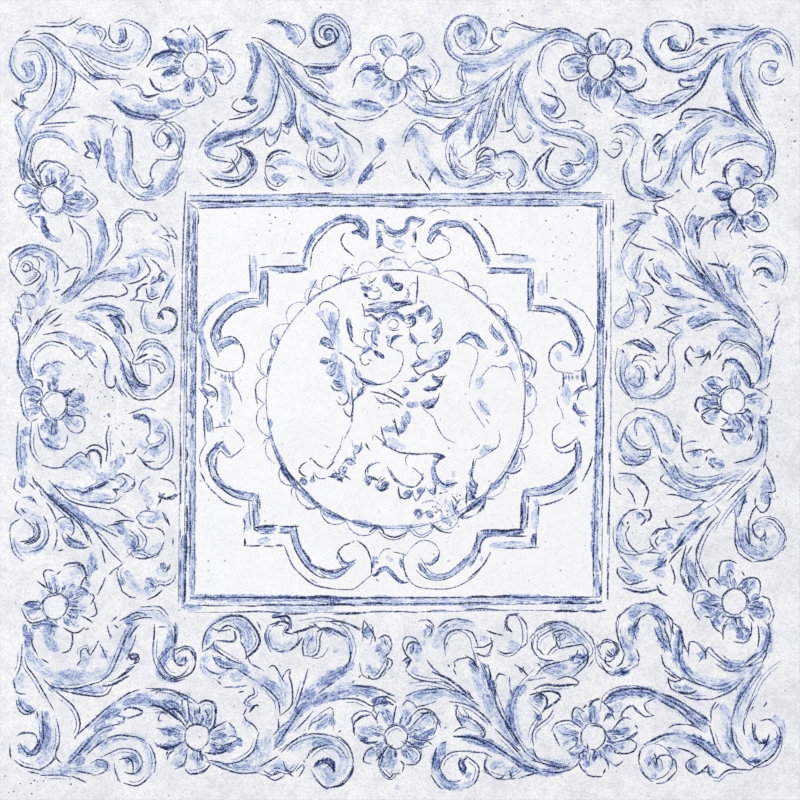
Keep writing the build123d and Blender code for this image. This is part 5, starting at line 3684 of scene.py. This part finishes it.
line(DEEP, FINE, """
-29,86 -28,88
5,83 7,80 6,77
-21,82 -18,81 -15,82 -14,79 -15,76 -20,75
5,72 8,71 10,72.5
-60,68 -60,71 -57,73.5 -53,73.5 -49,71 -46,67.5
20,72 22.5,69 23,65 22,61 20,58
25,53 28,55 30,58
-38.5,60.5 -37,55 -36,48
-37,60 -36.5,54 -35.5,48
-27,51 -20,52 -17,55
30,60 31,57 30.5,55 32,52 31,48 27,43
24,48 26,46 28,47
-11,48 -9,46
7,53 8,48 10,44 13,41
-26,50 -27,46 -24,42
-60,42 -59,45.5 -56,47 -53,45 -51,42
20,43 16,43 13,40 12.5,35 15,31 17,30
20,43 15,42 12.5,38 13,33 16,30 20,30
73,33 76,34 78,37
31,36 37,37 37,34 35,29 31,26 27,25
-24,30 -22,31
-30,33 -29,28 -26,26 -24,27
-58,28 -54,28 -51,29
-29,30 -29,27.5 -26,26 -24.5,27
9,25 13,25.5 16,28 20,29
25,19 27,17 33,18
4,14 8,14 12,14 19,21
-27,10 -26,8
-34,1 -31,4 -27,7
-46,3 -44,0
-25,-33 -24,-35 -23,-37
-8,-35 -2,-39 1,-39.5
0,-39 12,-41 22,-40
-35,-39 -34,-43
-35,-38 -33,-44
-42,-47 -38,-44 -34,-47
-44,-55 -46,-52 -44,-50
-49,-53 -47,-57 -46,-60
-64,-55 -62,-58 -59,-59 -56,-58.5
-65,-55 -64.5,-61
-44,-59 -43,-62
-17,-63 -14,-60 -12,-59
-24,-64 -22,-61
54,-65 57,-66
21,-67 23,-70 26,-71 27,-66 25,-62
10,-70 12,-75 18,-67
11,-84 13,-82 16,-85
18,-85 21,-83 24,-84
""")
line(DEEP, LINE, """
-7,90 -6,86 -4,83 -1,82 2,84 1,87 -3,87 -5,86
13,66 16,67 19,70
-15,61 -11,64 -5,65.5 0,64 3,61
-14,59 -11,63 -7,65.5 -3,65 0,63 2,60
-27,63 -24,63 -21,64 -15,58
5,63 8,64 11,62 11.5,58 9,55 6,54.5
-16,55 -15.5,50
-39.5,60 -39,54 -37.5,48 -36,45
-16,54 -15.5,49
30.5,59 31,49 26,43
43,43 50,49.5 54,48.5 58,48 62,44
-7,41 -6,45 -3,48 1,48
-57,41 -53,39 -50,38.5
-22,38 -19,36 -15,33
-44,34.5 -38,31 -35,28
30,36 37,37 36,31 32,26 27,23 21,21
10,24 13,20 16,19 20,21
20,21 17,18 11,14
-34,26 -33,20 -30,16 -25,13 -19,11.5 -13,12 -7,14
32,16 30,12 27,9 22,7.5 18,8
-51,10 -49,7.5 -45,7
-28,12 -28,7 -34,0
-47,-1 -45,-3.5 -41,-3 -39,0 -38.5,4 -40,6
16,-2 19,-6 24,-5 28,0 29,3
-36,8 -36,2 -35,-4 -36,-10 -37,-12
-42,-7 -40,-11 -36,-12.5 -35.5,-9
2,-17 4,-21
-5,-16 -3,-20 -2,-25
-14,-21 -13,-26 -11,-31
-12,-32 -9,-36
-26,-33 -23,-37
-29,-33 -30,-38 -33,-40
-10,-34 -1,-39 14,-40.5 22,-40 30,-41
33,-43 29,-45 27,-48
-65,-45 -61,-49 -57,-51
-50,-47 -52,-49 -54,-51
-24,-54 -24,-50 -21,-48 -17,-47
-25,-58 -26,-53 -22,-49 -18,-47 -16,-47
55,-45 54,-52 53,-58
-71,-47 -74,-49 -75.5,-53 -73,-56 -70,-57.5
-46,-55 -42,-56 -38,-59
26,-49 27,-56 30,-61 35,-64 41,-62
-9,-51 -4,-60 3,-64
-7,-53 -4,-58 0,-62 6,-65 12,-64.5 16,-60 17,-56
17,-59 12,-64.5 8,-65 3,-63.5
-18,-64 -15,-68 -11,-66 -9,-63
-18,-65 -15,-68 -10,-66.5
27,-63 25,-71 21,-67
-1,-66 -1,-70 0,-73
0,-72 3,-74 7,-72 9,-69
""")
line(DARK, FINE, """
-2,70 4,71 8,72
13,67 17,69 20,71
-27,66 -26,62.5 -22,63 -16,58
26,54 28,56 30,58
-26,53 -22,51.5 -18,52
28,48 28.5,47.5
27,40 27.5,39.5
-23,30 -21,29.5
9,26 12,25 15,26
24,18 29,17 34,18
-18,-27 -15,-29.5 -12,-32
-4,-37 -2,-38.5
-66,-43 -68,-45
-24,-58 -17,-60 -15,-58
46,-66 46.5,-66.5
24,-79 25,-81
""")
line(DARK, LINE, """
13,92 13,82 12,73
-6,73 0,73.5 5,73
-24,71 -20,72
-28,71 -27,67 -26.5,62.5
-18,36 -15,33
-44,35 -36,29 -34,27
18,8 22,7 27,9 30,12 33,17
-8,8 -3,5 2,2
-21,6 -15,5 -3,0 1,-3
-18,2 -14,-2 -9,-2
-8,-2 -4,-3 -1,-5
-36,-13 -36,-17
-4,-15 -3,-20 -1,-26
10,-41 16,-40.5
26,-40 33,-42.5
-43,-56 -38,-59
-54,-57 -49,-58
-24,-57 -20,-58 -17,-60
-46,-58 -43,-62
33,-69 36,-68.5
29,-70 32,-69.5
-1,-67 0,-72 4,-74 8,-72
""")

# Wear: dark specks in loose patches, where the face looks chipped and pitted, most of all under the lion.
# Each patch has its middle, its spread across and up, and how many pits it has.
WORN_PATCHES = (
    (36, -80, 8, 11, 46),
    (-10, 2, 9, 5, 16),
    (-25, 88, 5, 3, 8),
    (-228, 10, 10, 7, 22),
    (-211, -18, 6, 6, 12),
    (290, 200, 4, 8, 12),
    (124, 118, 7, 22, 22),
    (88, 290, 12, 5, 10),
    (-270, -288, 14, 5, 14),
    (-88, 130, 14, 10, 14),
)
PIT_LENGTH = 1.2
PIT_LIMIT = 296
PIT_INK = (0.4, 1.1)
PIT_ENDS = 0.8
WEAR_SEED = 5
chance = np.random.default_rng(WEAR_SEED)
for x, y, wide, high, count in WORN_PATCHES:
    for spot in chance.normal((x, y), (wide, high), (count, 2)):
        left, low = np.clip(spot, -PIT_LIMIT, PIT_LIMIT)
        lean, rise = chance.uniform(-PIT_LENGTH, PIT_LENGTH, 2)
        pit = f"{left},{low} {left + lean},{low + rise}"
        lay("line", chance.uniform(*PIT_INK), chance.uniform(FINE, LINE), pit, PIT_ENDS)

# The tile: pressed white porcelain with a thin satin glaze over the print, fired once and then ground square.
# Its body and its edges are the frame's own. The face is cut along the edges of the strokes, so that it holds
# their ink: corner by corner, how far across a stroke it lies and how much colour the brush left.
MM = 0.001
FACE_HEIGHT = 9.0 * MM
FACE_HALF = 299.4
STEP_ALONG = 3.0
FEWEST_STEPS = 2
MOST_STEPS = 8
SWELL_POWER = 0.6


def ribbon(half_width, points, ends):
    """Flat ribbon along a smooth curve through the points: rows of a left and a right edge point."""
    before = 2 * points[0] - points[1]
    after = 2 * points[-1] - points[-2]
    knots = np.vstack((before, points, after))
    centre = []
    for a, b, c, d in zip(knots, knots[1:], knots[2:], knots[3:]):
        count = int(np.clip(np.linalg.norm(c - b) / STEP_ALONG, FEWEST_STEPS, MOST_STEPS))
        t = np.arange(count)[:, None] / count
        bend = (2 * a - 5 * b + 4 * c - d) * t ** 2 + (3 * b - a - 3 * c + d) * t ** 3
        centre.append(0.5 * (2 * b + (c - a) * t + bend))
    centre = np.vstack(centre + [points[-1:]])
    along = np.gradient(centre, axis=0)
    along /= np.linalg.norm(along, axis=1)[:, None] + 1e-9
    across = np.column_stack((-along[:, 1], along[:, 0]))
    t = np.linspace(0, 1, len(centre))
    swell = ends + (1 - ends) * np.sin(np.pi * t) ** SWELL_POWER
    reach = across * (half_width * swell)[:, None]
    return np.stack((centre + reach, centre - reach), axis=1)


# Every ribbon goes in as patches of a few spans. A patch is one polygon, counter-clockwise; where the ribbon
# folds over itself in a tight bend, its spans go in as single triangles instead.
SPANS_IN_PATCH = 4
LEAST_AREA = 1e-3
STREAK_SHIFT = 50.0
CUT_SLACK = 1e-4
corners = [(-1, -1), (1, -1), (1, 1), (-1, 1)]
flat_points = [(x * FACE_HALF, y * FACE_HALF) for x, y in corners]
flat_faces = [[0, 1, 2, 3]]
stroke_of_face = [-1]
patch_edges = [np.zeros((2, SPANS_IN_PATCH + 1, 2))]
patch_start = [0.0]


def twice_area(a, b, c):
    """Twice the area of the triangles a, b, c, positive where they turn counter-clockwise."""
    run = b - a
    rise = c - a
    return run[..., 0] * rise[..., 1] - run[..., 1] * rise[..., 0]


for number, (kind, ink, half_width, points, ends) in enumerate(strokes):
    rows = ribbon(half_width, points, ends)
    left, right = rows[:, 0], rows[:, 1]
    start = len(flat_points)
    flat_points += [tuple(p) for p in rows.reshape(-1, 2)]
    lower = twice_area(right[:-1], right[1:], left[1:])
    upper = twice_area(right[:-1], left[1:], left[:-1])
    sound = (lower > LEAST_AREA) & (upper > LEAST_AREA)
    walked = np.append(0, np.cumsum(np.linalg.norm(np.diff(rows.mean(1), axis=0), axis=1)))
    first = 0
    while first < len(sound):
        last = first + 1
        while sound[first] and last < len(sound) and sound[last] and last - first < SPANS_IN_PATCH:
            last += 1
        rights = list(range(start + 2 * first + 1, start + 2 * last + 2, 2))
        lefts = list(range(start + 2 * last, start + 2 * first - 1, -2))
        faces = [rights + lefts]
        if not sound[first]:
            lower_half = (rights[0], rights[1], lefts[0])
            upper_half = (rights[0], lefts[0], lefts[1])
            halves = ((lower_half, lower[first]), (upper_half, upper[first]))
            faces = [half if area > 0 else half[::-1] for half, area in halves if abs(area) > LEAST_AREA]
        padded = np.minimum(np.arange(first, first + SPANS_IN_PATCH + 1), last)
        for face in faces:
            flat_faces.append(face)
            stroke_of_face.append(number)
            patch_edges.append(rows[padded].transpose(1, 0, 2))
            patch_start.append(walked[first] + STREAK_SHIFT * number)
        first = last

cut = delaunay_2d_cdt([Vector(p) for p in flat_points], [], flat_faces, 1, CUT_SLACK, True)
cut_points = np.array([(p.x, p.y) for p in cut[0]])
cut_triangles = np.array(cut[2])
under = [(t, f) for t, covering in enumerate(cut[5]) for f in covering if f > 0]
under_triangle = np.array([pair[0] for pair in under])
under_face = np.array([pair[1] for pair in under])


def nearest_on_edge(points, edge):
    """How far points lie from a chain of edge points, and how far along the chain the nearest spot is."""
    least = np.full(points.shape[:2], np.inf)
    place = np.zeros(points.shape[:2])
    passed = np.zeros((len(points), 1))
    for a, b in zip(edge.transpose(1, 0, 2), edge.transpose(1, 0, 2)[1:]):
        a, run = a[:, None], (b - a)[:, None]
        length = np.linalg.norm(run, axis=-1)
        share = np.clip(((points - a) * run).sum(-1) / (length ** 2 + 1e-12), 0, 1)
        distance = np.linalg.norm(points - a - run * share[..., None], axis=-1)
        place = np.where(distance < least, passed + share * length, place)
        least = np.minimum(least, distance)
        passed = passed + length
    return least, place


# Each triangle corner takes, of the strokes over it, the strongest line, wash and tint. For each of the three
# it keeps the place across the stroke, from 0 to 1, and the ink. Wash and tint also keep the place along it,
# for the streaks of the brush.
corner_points = cut_points[cut_triangles][under_triangle]
edges = np.array(patch_edges)[under_face]
to_left, along_left = nearest_on_edge(corner_points, edges[:, 0])
to_right, along_right = nearest_on_edge(corner_points, edges[:, 1])
across = to_left / (to_left + to_right + 1e-9)
along = (along_left + along_right) / 2 + np.array(patch_start)[under_face][:, None]
stroke_number = np.array(stroke_of_face)[under_face]
ink_of = np.array([s[1] for s in strokes])[stroke_number]
kind_of = np.array([s[0] for s in strokes])[stroke_number]
inked = np.zeros((len(cut_triangles), 3, 8))
for kind, channel, along_channel in (("line", 0, None), ("wash", 2, 6), ("tint", 4, 7)):
    chosen = kind_of == kind
    rank = np.argsort(ink_of[chosen])
    triangle = under_triangle[chosen][rank]
    inked[triangle, :, channel] = across[chosen][rank]
    inked[triangle, :, channel + 1] = ink_of[chosen][rank][:, None]
    if along_channel:
        inked[triangle, :, along_channel] = along[chosen][rank]

FACE_SLACK = 1e-5
WELD = 1e-6
MAP_HALF = 0.47
MAP_MIDDLE = 0.53
mesh = bpy.data.meshes.new("glazed_tile")
bm = bmesh.new()
bm.from_mesh(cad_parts["porcelain_tile"].data)
bmesh.ops.remove_doubles(bm, verts=bm.verts, dist=WELD)
face_tops = [f for f in bm.faces if f.calc_center_median().z > FACE_HEIGHT - FACE_SLACK]
bmesh.ops.delete(bm, geom=face_tops, context="FACES_ONLY")
rim_verts = [v for v in bm.verts if v.co.z > FACE_HEIGHT - FACE_SLACK]
rim = {(round(v.co.x / MM, 1), round(v.co.y / MM, 1)): v for v in rim_verts}
face_verts = []
for x, y in cut_points:
    known = rim.get((round(x, 1), round(y, 1)))
    face_verts.append(known or bm.verts.new((x * MM, y * MM, FACE_HEIGHT)))
ink_layer = bm.loops.layers.float_color.new("ink")
tint_layer = bm.loops.layers.float_color.new("tint")
map_layer = bm.loops.layers.uv.new("OFBake")
for triangle, values in zip(cut_triangles, inked):
    face = bm.faces.new([face_verts[i] for i in triangle])
    for loop, value in zip(face.loops, values):
        loop[ink_layer] = value[:4]
        loop[tint_layer] = value[4:]
        loop[map_layer].uv = loop.vert.co.xy * (MAP_HALF / FACE_HALF / MM) + Vector((MAP_MIDDLE, MAP_MIDDLE))
bmesh.ops.recalc_face_normals(bm, faces=bm.faces)
bm.to_mesh(mesh)
bm.free()
glazed_tile = bpy.data.objects.new("glazed_tile", mesh)
bpy.context.scene.collection.objects.link(glazed_tile)

porcelain = bpy.data.materials.new("porcelain")
porcelain.use_nodes = True
nodes = porcelain.node_tree.nodes
links = porcelain.node_tree.links
nodes.clear()


def node(kind, inputs, **settings):
    """A new shader node with its settings, and its input sockets linked or set."""
    made = nodes.new(kind)
    for name, value in settings.items():
        setattr(made, name, value)
    for socket, value in inputs.items():
        if isinstance(value, bpy.types.NodeSocket):
            links.new(value, made.inputs[socket])
        else:
            made.inputs[socket].default_value = value
    return made


def math(operation, *values):
    """Result of a maths node."""
    return node("ShaderNodeMath", dict(enumerate(values)), operation=operation).outputs[0]


def ramp(value, low, high, out_low=0.0, out_high=1.0):
    """A value taken smoothly from one range to another."""
    inputs = {"Value": value, 1: low, 2: high, 3: out_low, 4: out_high}
    return node("ShaderNodeMapRange", inputs, interpolation_type="SMOOTHSTEP").outputs[0]


def noise(size, detail=2.0, roughness=0.5, shift=0.0):
    """Noise from 0 to 1 whose features are about this many millimetres across."""
    place = node("ShaderNodeVectorMath", {0: where, 1: (shift, shift, 0.0)}, operation="ADD").outputs[0]
    inputs = {"Vector": place, "Scale": 1 / (size * MM), "Detail": detail, "Roughness": roughness}
    return node("ShaderNodeTexNoise", inputs).outputs["Fac"]


def colour(red, green, blue):
    """A screen colour from 0 to 1 as the shader's linear value."""
    linear = [c / 12.92 if c <= 0.04045 else ((c + 0.055) / 1.055) ** 2.4 for c in (red, green, blue)]
    return (*linear, 1.0)


def mix(factor, a, b, blend="MIX"):
    """Two colours mixed by a factor."""
    inputs = {0: factor, 6: a, 7: b}
    return node("ShaderNodeMix", inputs, data_type="RGBA", blend_type=blend).outputs[2]


where = node("ShaderNodeTexCoord", {}).outputs["Object"]
ink_attribute = node("ShaderNodeAttribute", {}, attribute_name="ink")
ink_parts = node("ShaderNodeSeparateColor", {0: ink_attribute.outputs["Color"]})
line_across = ink_parts.outputs[0]
line_ink = ink_parts.outputs[1]
wash_across = ink_parts.outputs[2]
wash_ink = ink_attribute.outputs["Alpha"]
tint_attribute = node("ShaderNodeAttribute", {}, attribute_name="tint")
tint_parts = node("ShaderNodeSeparateColor", {0: tint_attribute.outputs["Color"]})
tint_across = tint_parts.outputs[0]
tint_ink = tint_parts.outputs[1]
wash_along = tint_parts.outputs[2]
tint_along = tint_attribute.outputs["Alpha"]

ragged = math("SUBTRACT", noise(0.9, 3.0, 0.65), 0.5)
wander = math("SUBTRACT", noise(3.6, 4.0, 0.65, 1.0), 0.5)
flow = noise(5.0, 4.0, 0.65, 3.0)
grain = noise(2.6, 5.0, 0.75, 7.0)
sand = noise(1.1, 2.0, 0.6, 9.0)


def core(across):
    """How far inside a stroke: 0 at its edges and 1 along its middle."""
    return math("SUBTRACT", 1.0, math("ABSOLUTE", math("MULTIPLY_ADD", across, 2.0, -1.0)))


def edged(across, fine, broad, low, high):
    """A stroke's cover, with its edges moved in and out by the fine and the broad noise."""
    moved = math("MULTIPLY_ADD", ragged, fine, math("MULTIPLY_ADD", wander, broad, core(across)))
    return ramp(moved, low, high)


def product(*values):
    """All the values multiplied together."""
    total = values[0]
    for value in values[1:]:
        total = math("MULTIPLY", total, value)
    return total


HAIR_STRETCH = 0.09
WASH_HAIRS = 6.0
TINT_HAIRS = 7.0


def streaks(across, along, hairs):
    """The trails that the hairs of a brush leave along a stroke."""
    sideways = math("MULTIPLY", across, hairs)
    lengthways = math("MULTIPLY", along, HAIR_STRETCH)
    place = node("ShaderNodeCombineXYZ", {0: sideways, 1: lengthways})
    inputs = {"Vector": place.outputs[0], "Scale": 1.0, "Detail": 2.0, "Roughness": 0.6}
    return node("ShaderNodeTexNoise", inputs).outputs["Fac"]


sandy = ramp(sand, 0.32, 0.68, 0.5, 1.45)
line_cover = edged(line_across, 1.5, 1.0, 0.0, 0.36)
line_flow = ramp(flow, 0.32, 0.62, 0.5, 1.3)
line_grain = ramp(sand, 0.32, 0.68, 0.35, 1.7)
line_amount = product(line_ink, line_cover, line_flow, line_grain)
pooled = ramp(core(wash_across), 0.1, 0.75, 1.22, 0.82)
wash_cover = edged(wash_across, 0.8, 1.3, 0.16, 0.36)
wash_streaks = ramp(streaks(wash_across, wash_along, WASH_HAIRS), 0.34, 0.66, 0.4, 1.6)
wash_grain = ramp(grain, 0.34, 0.66, 0.6, 1.4)
wash_amount = product(wash_ink, wash_cover, pooled, wash_grain, wash_streaks, sandy)
tint_cover = edged(tint_across, 0.6, 1.3, 0.1, 0.5)
tint_streaks = ramp(streaks(tint_across, tint_along, TINT_HAIRS), 0.36, 0.64, 0.25, 2.0)
tint_grain = ramp(grain, 0.34, 0.66, 0.4, 1.7)
tint_amount = product(tint_ink, tint_cover, tint_grain, tint_streaks, sandy)
bare = math("MULTIPLY", math("SUBTRACT", 1.0, wash_amount), math("SUBTRACT", 1.0, tint_amount))
coat_amount = math("SUBTRACT", 1.0, bare)

# The glaze itself is a cool white, cloudy in broad patches and finely grained. It is greyer in the border.
FIELD_END = 150 * MM
GREY_START = 170 * MM
GLAZE_WHITE = (0.990, 0.993, 0.996)
GLAZE_GREY = (0.855, 0.875, 0.905)
place_parts = node("ShaderNodeSeparateXYZ", {0: where}).outputs
side_x = math("ABSOLUTE", place_parts[0])
side_y = math("ABSOLUTE", place_parts[1])
border = ramp(math("MAXIMUM", side_x, side_y), FIELD_END, GREY_START)
cloud = ramp(noise(38.0, 4.0, 0.6, 11.0), 0.3, 0.7)
dust = ramp(noise(1.6, 4.0, 0.75, 13.0), 0.4, 0.75)
smoke = ramp(noise(11.0, 5.0, 0.65, 15.0), 0.45, 0.7)
veil = math("MULTIPLY", math("MULTIPLY_ADD", border, 0.24, 0.10), cloud)
veil = math("MULTIPLY_ADD", smoke, math("MULTIPLY_ADD", border, 0.26, 0.1), veil)
veil = math("MULTIPLY_ADD", dust, math("MULTIPLY_ADD", border, 0.5, 0.5), veil)
ground = mix(veil, colour(*GLAZE_WHITE), colour(*GLAZE_GREY))

# Cobalt over that ground: clear blue where it is brushed on as a thin coat, near black where a line is drawn
COAT_COLOURS = (
    (0.0, (1.0, 1.0, 1.0)),
    (0.16, (0.90, 0.925, 0.97)),
    (0.30, (0.77, 0.815, 0.93)),
    (0.45, (0.64, 0.70, 0.87)),
    (0.60, (0.51, 0.57, 0.78)),
    (0.75, (0.39, 0.45, 0.67)),
    (0.90, (0.28, 0.34, 0.58)),
    (1.0, (0.20, 0.25, 0.46)),
)
LINE_COLOURS = (
    (0.0, (1.0, 1.0, 1.0)),
    (0.3, (0.76, 0.81, 0.925)),
    (0.5, (0.535, 0.595, 0.785)),
    (0.7, (0.325, 0.385, 0.605)),
    (0.85, (0.185, 0.24, 0.44)),
    (1.0, (0.045, 0.085, 0.23)),
)


def shades(amount, table):
    """The colour that an amount of ink gives, from a table of amounts and screen colours."""
    made = node("ShaderNodeValToRGB", {0: amount})
    stops = made.color_ramp.elements
    for index, (position, shade) in enumerate(table):
        stop = stops[index] if index < 2 else stops.new(position)
        stop.position = position
        stop.color = colour(*shade)
    return made.outputs[0]


coated = mix(1.0, ground, shades(coat_amount, COAT_COLOURS), "MULTIPLY")
inked_glaze = mix(1.0, coated, shades(line_amount, LINE_COLOURS), "MULTIPLY")

# Pinholes, gathered in patches, show as dark specks
SMALL_PINHOLE = (0.42, 0.44, 0.50)
LARGE_PINHOLE = (0.25, 0.27, 0.32)
patches = ramp(noise(30.0, 3.0, 0.6, 17.0), 0.42, 0.75, 0.05, 0.45)


def specks(cell, least, most, strength):
    """Dark dots, at most one in each cell of this many millimetres, more of them where the patches are."""
    cells = node("ShaderNodeTexVoronoi", {"Vector": where, "Scale": 1 / (cell * MM)})
    chance = node("ShaderNodeSeparateColor", {0: cells.outputs["Color"]}).outputs
    size = math("MULTIPLY_ADD", chance[1], (most - least) / cell, least / cell)
    size = math("MULTIPLY_ADD", ragged, 0.5 * least / cell, size)
    here = math("LESS_THAN", chance[0], patches)
    inside = math("LESS_THAN", cells.outputs["Distance"], size)
    return product(here, inside, math("MULTIPLY_ADD", chance[2], strength, 0.4 * strength))


printed = mix(specks(3.1, 0.25, 0.6, 0.28), inked_glaze, colour(*SMALL_PINHOLE))
printed = mix(specks(6.0, 0.35, 0.9, 0.6), printed, colour(*LARGE_PINHOLE))

# The ground edges and the back are bare body, a warmer and duller white than the glaze
BODY_WHITE = (0.84, 0.83, 0.81)
BODY_ROUGHNESS = 0.8
GLAZE_SMOOTHER_BY = 0.45
GLAZE_DEPTH = 0.3 * MM
SHEEN = 0.2
glazed = math("GREATER_THAN", place_parts[2], FACE_HEIGHT - GLAZE_DEPTH)
surface = mix(glazed, colour(*BODY_WHITE), printed)
roughness = math("MULTIPLY_ADD", glazed, -GLAZE_SMOOTHER_BY, BODY_ROUGHNESS)
inputs = {"Base Color": surface, "Roughness": roughness, "Specular IOR Level": SHEEN}
shader = node("ShaderNodeBsdfPrincipled", inputs)
node("ShaderNodeOutputMaterial", {"Surface": shader.outputs[0]})
mesh.materials.append(porcelain)

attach(glazed_tile, "root")
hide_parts("porcelain_tile")

# Studio: a plain pale floor under the tile, matt so that it throws no reflection.
# One large soft light hangs high on the left, and the surround is an even white.
FLOOR_HALF = 3.0
FLOOR_GREY = (0.9, 0.9, 0.9)
FLOOR_ROUGHNESS = 0.9
SURROUND_STRENGTH = 0.63
SOFTBOX_SIZE = 4.0
SOFTBOX_POWER = 118.0
SOFTBOX_PLACE = (-1.6, 1.4, 4.6)
floor_mesh = bpy.data.meshes.new("floor")
bm = bmesh.new()
bmesh.ops.create_grid(bm, x_segments=1, y_segments=1, size=FLOOR_HALF)
bm.to_mesh(floor_mesh)
bm.free()
floor = bpy.data.objects.new("floor", floor_mesh)
bpy.context.scene.collection.objects.link(floor)
floor_paint = bpy.data.materials.new("floor_paint")
floor_paint.use_nodes = True
floor_shader = floor_paint.node_tree.nodes["Principled BSDF"]
floor_shader.inputs["Base Color"].default_value = colour(*FLOOR_GREY)
floor_shader.inputs["Roughness"].default_value = FLOOR_ROUGHNESS
floor_mesh.materials.append(floor_paint)

surround = bpy.data.worlds.new("surround")
surround.use_nodes = True
background = surround.node_tree.nodes["Background"]
background.inputs["Color"].default_value = (1.0, 1.0, 1.0, 1.0)
background.inputs["Strength"].default_value = SURROUND_STRENGTH
bpy.context.scene.world = surround
softbox = bpy.data.lights.new("softbox", "AREA")
softbox.shape = "SQUARE"
softbox.size = SOFTBOX_SIZE
softbox.energy = SOFTBOX_POWER
softbox_object = bpy.data.objects.new("softbox", softbox)
softbox_object.location = SOFTBOX_PLACE
softbox_object.rotation_euler = Vector(SOFTBOX_PLACE).to_track_quat("Z", "Y").to_euler()
bpy.context.scene.collection.objects.link(softbox_object)

# Camera: a long lens straight above the middle of the tile, so that its edges stay out of sight.
# The sides of the picture fall on the ground bevel, so the flat face fills it.
FRAME_WIDTH = 0.599
LENS = 180.0
camera = bpy.data.cameras.new("camera")
camera.lens = LENS
camera_object = bpy.data.objects.new("camera", camera)
camera_object.location = (0.0, 0.0, FACE_HEIGHT + FRAME_WIDTH * camera.lens / camera.sensor_width)
bpy.context.scene.collection.objects.link(camera_object)
bpy.context.scene.camera = camera_object
bpy.context.scene.view_settings.view_transform = "Standard"
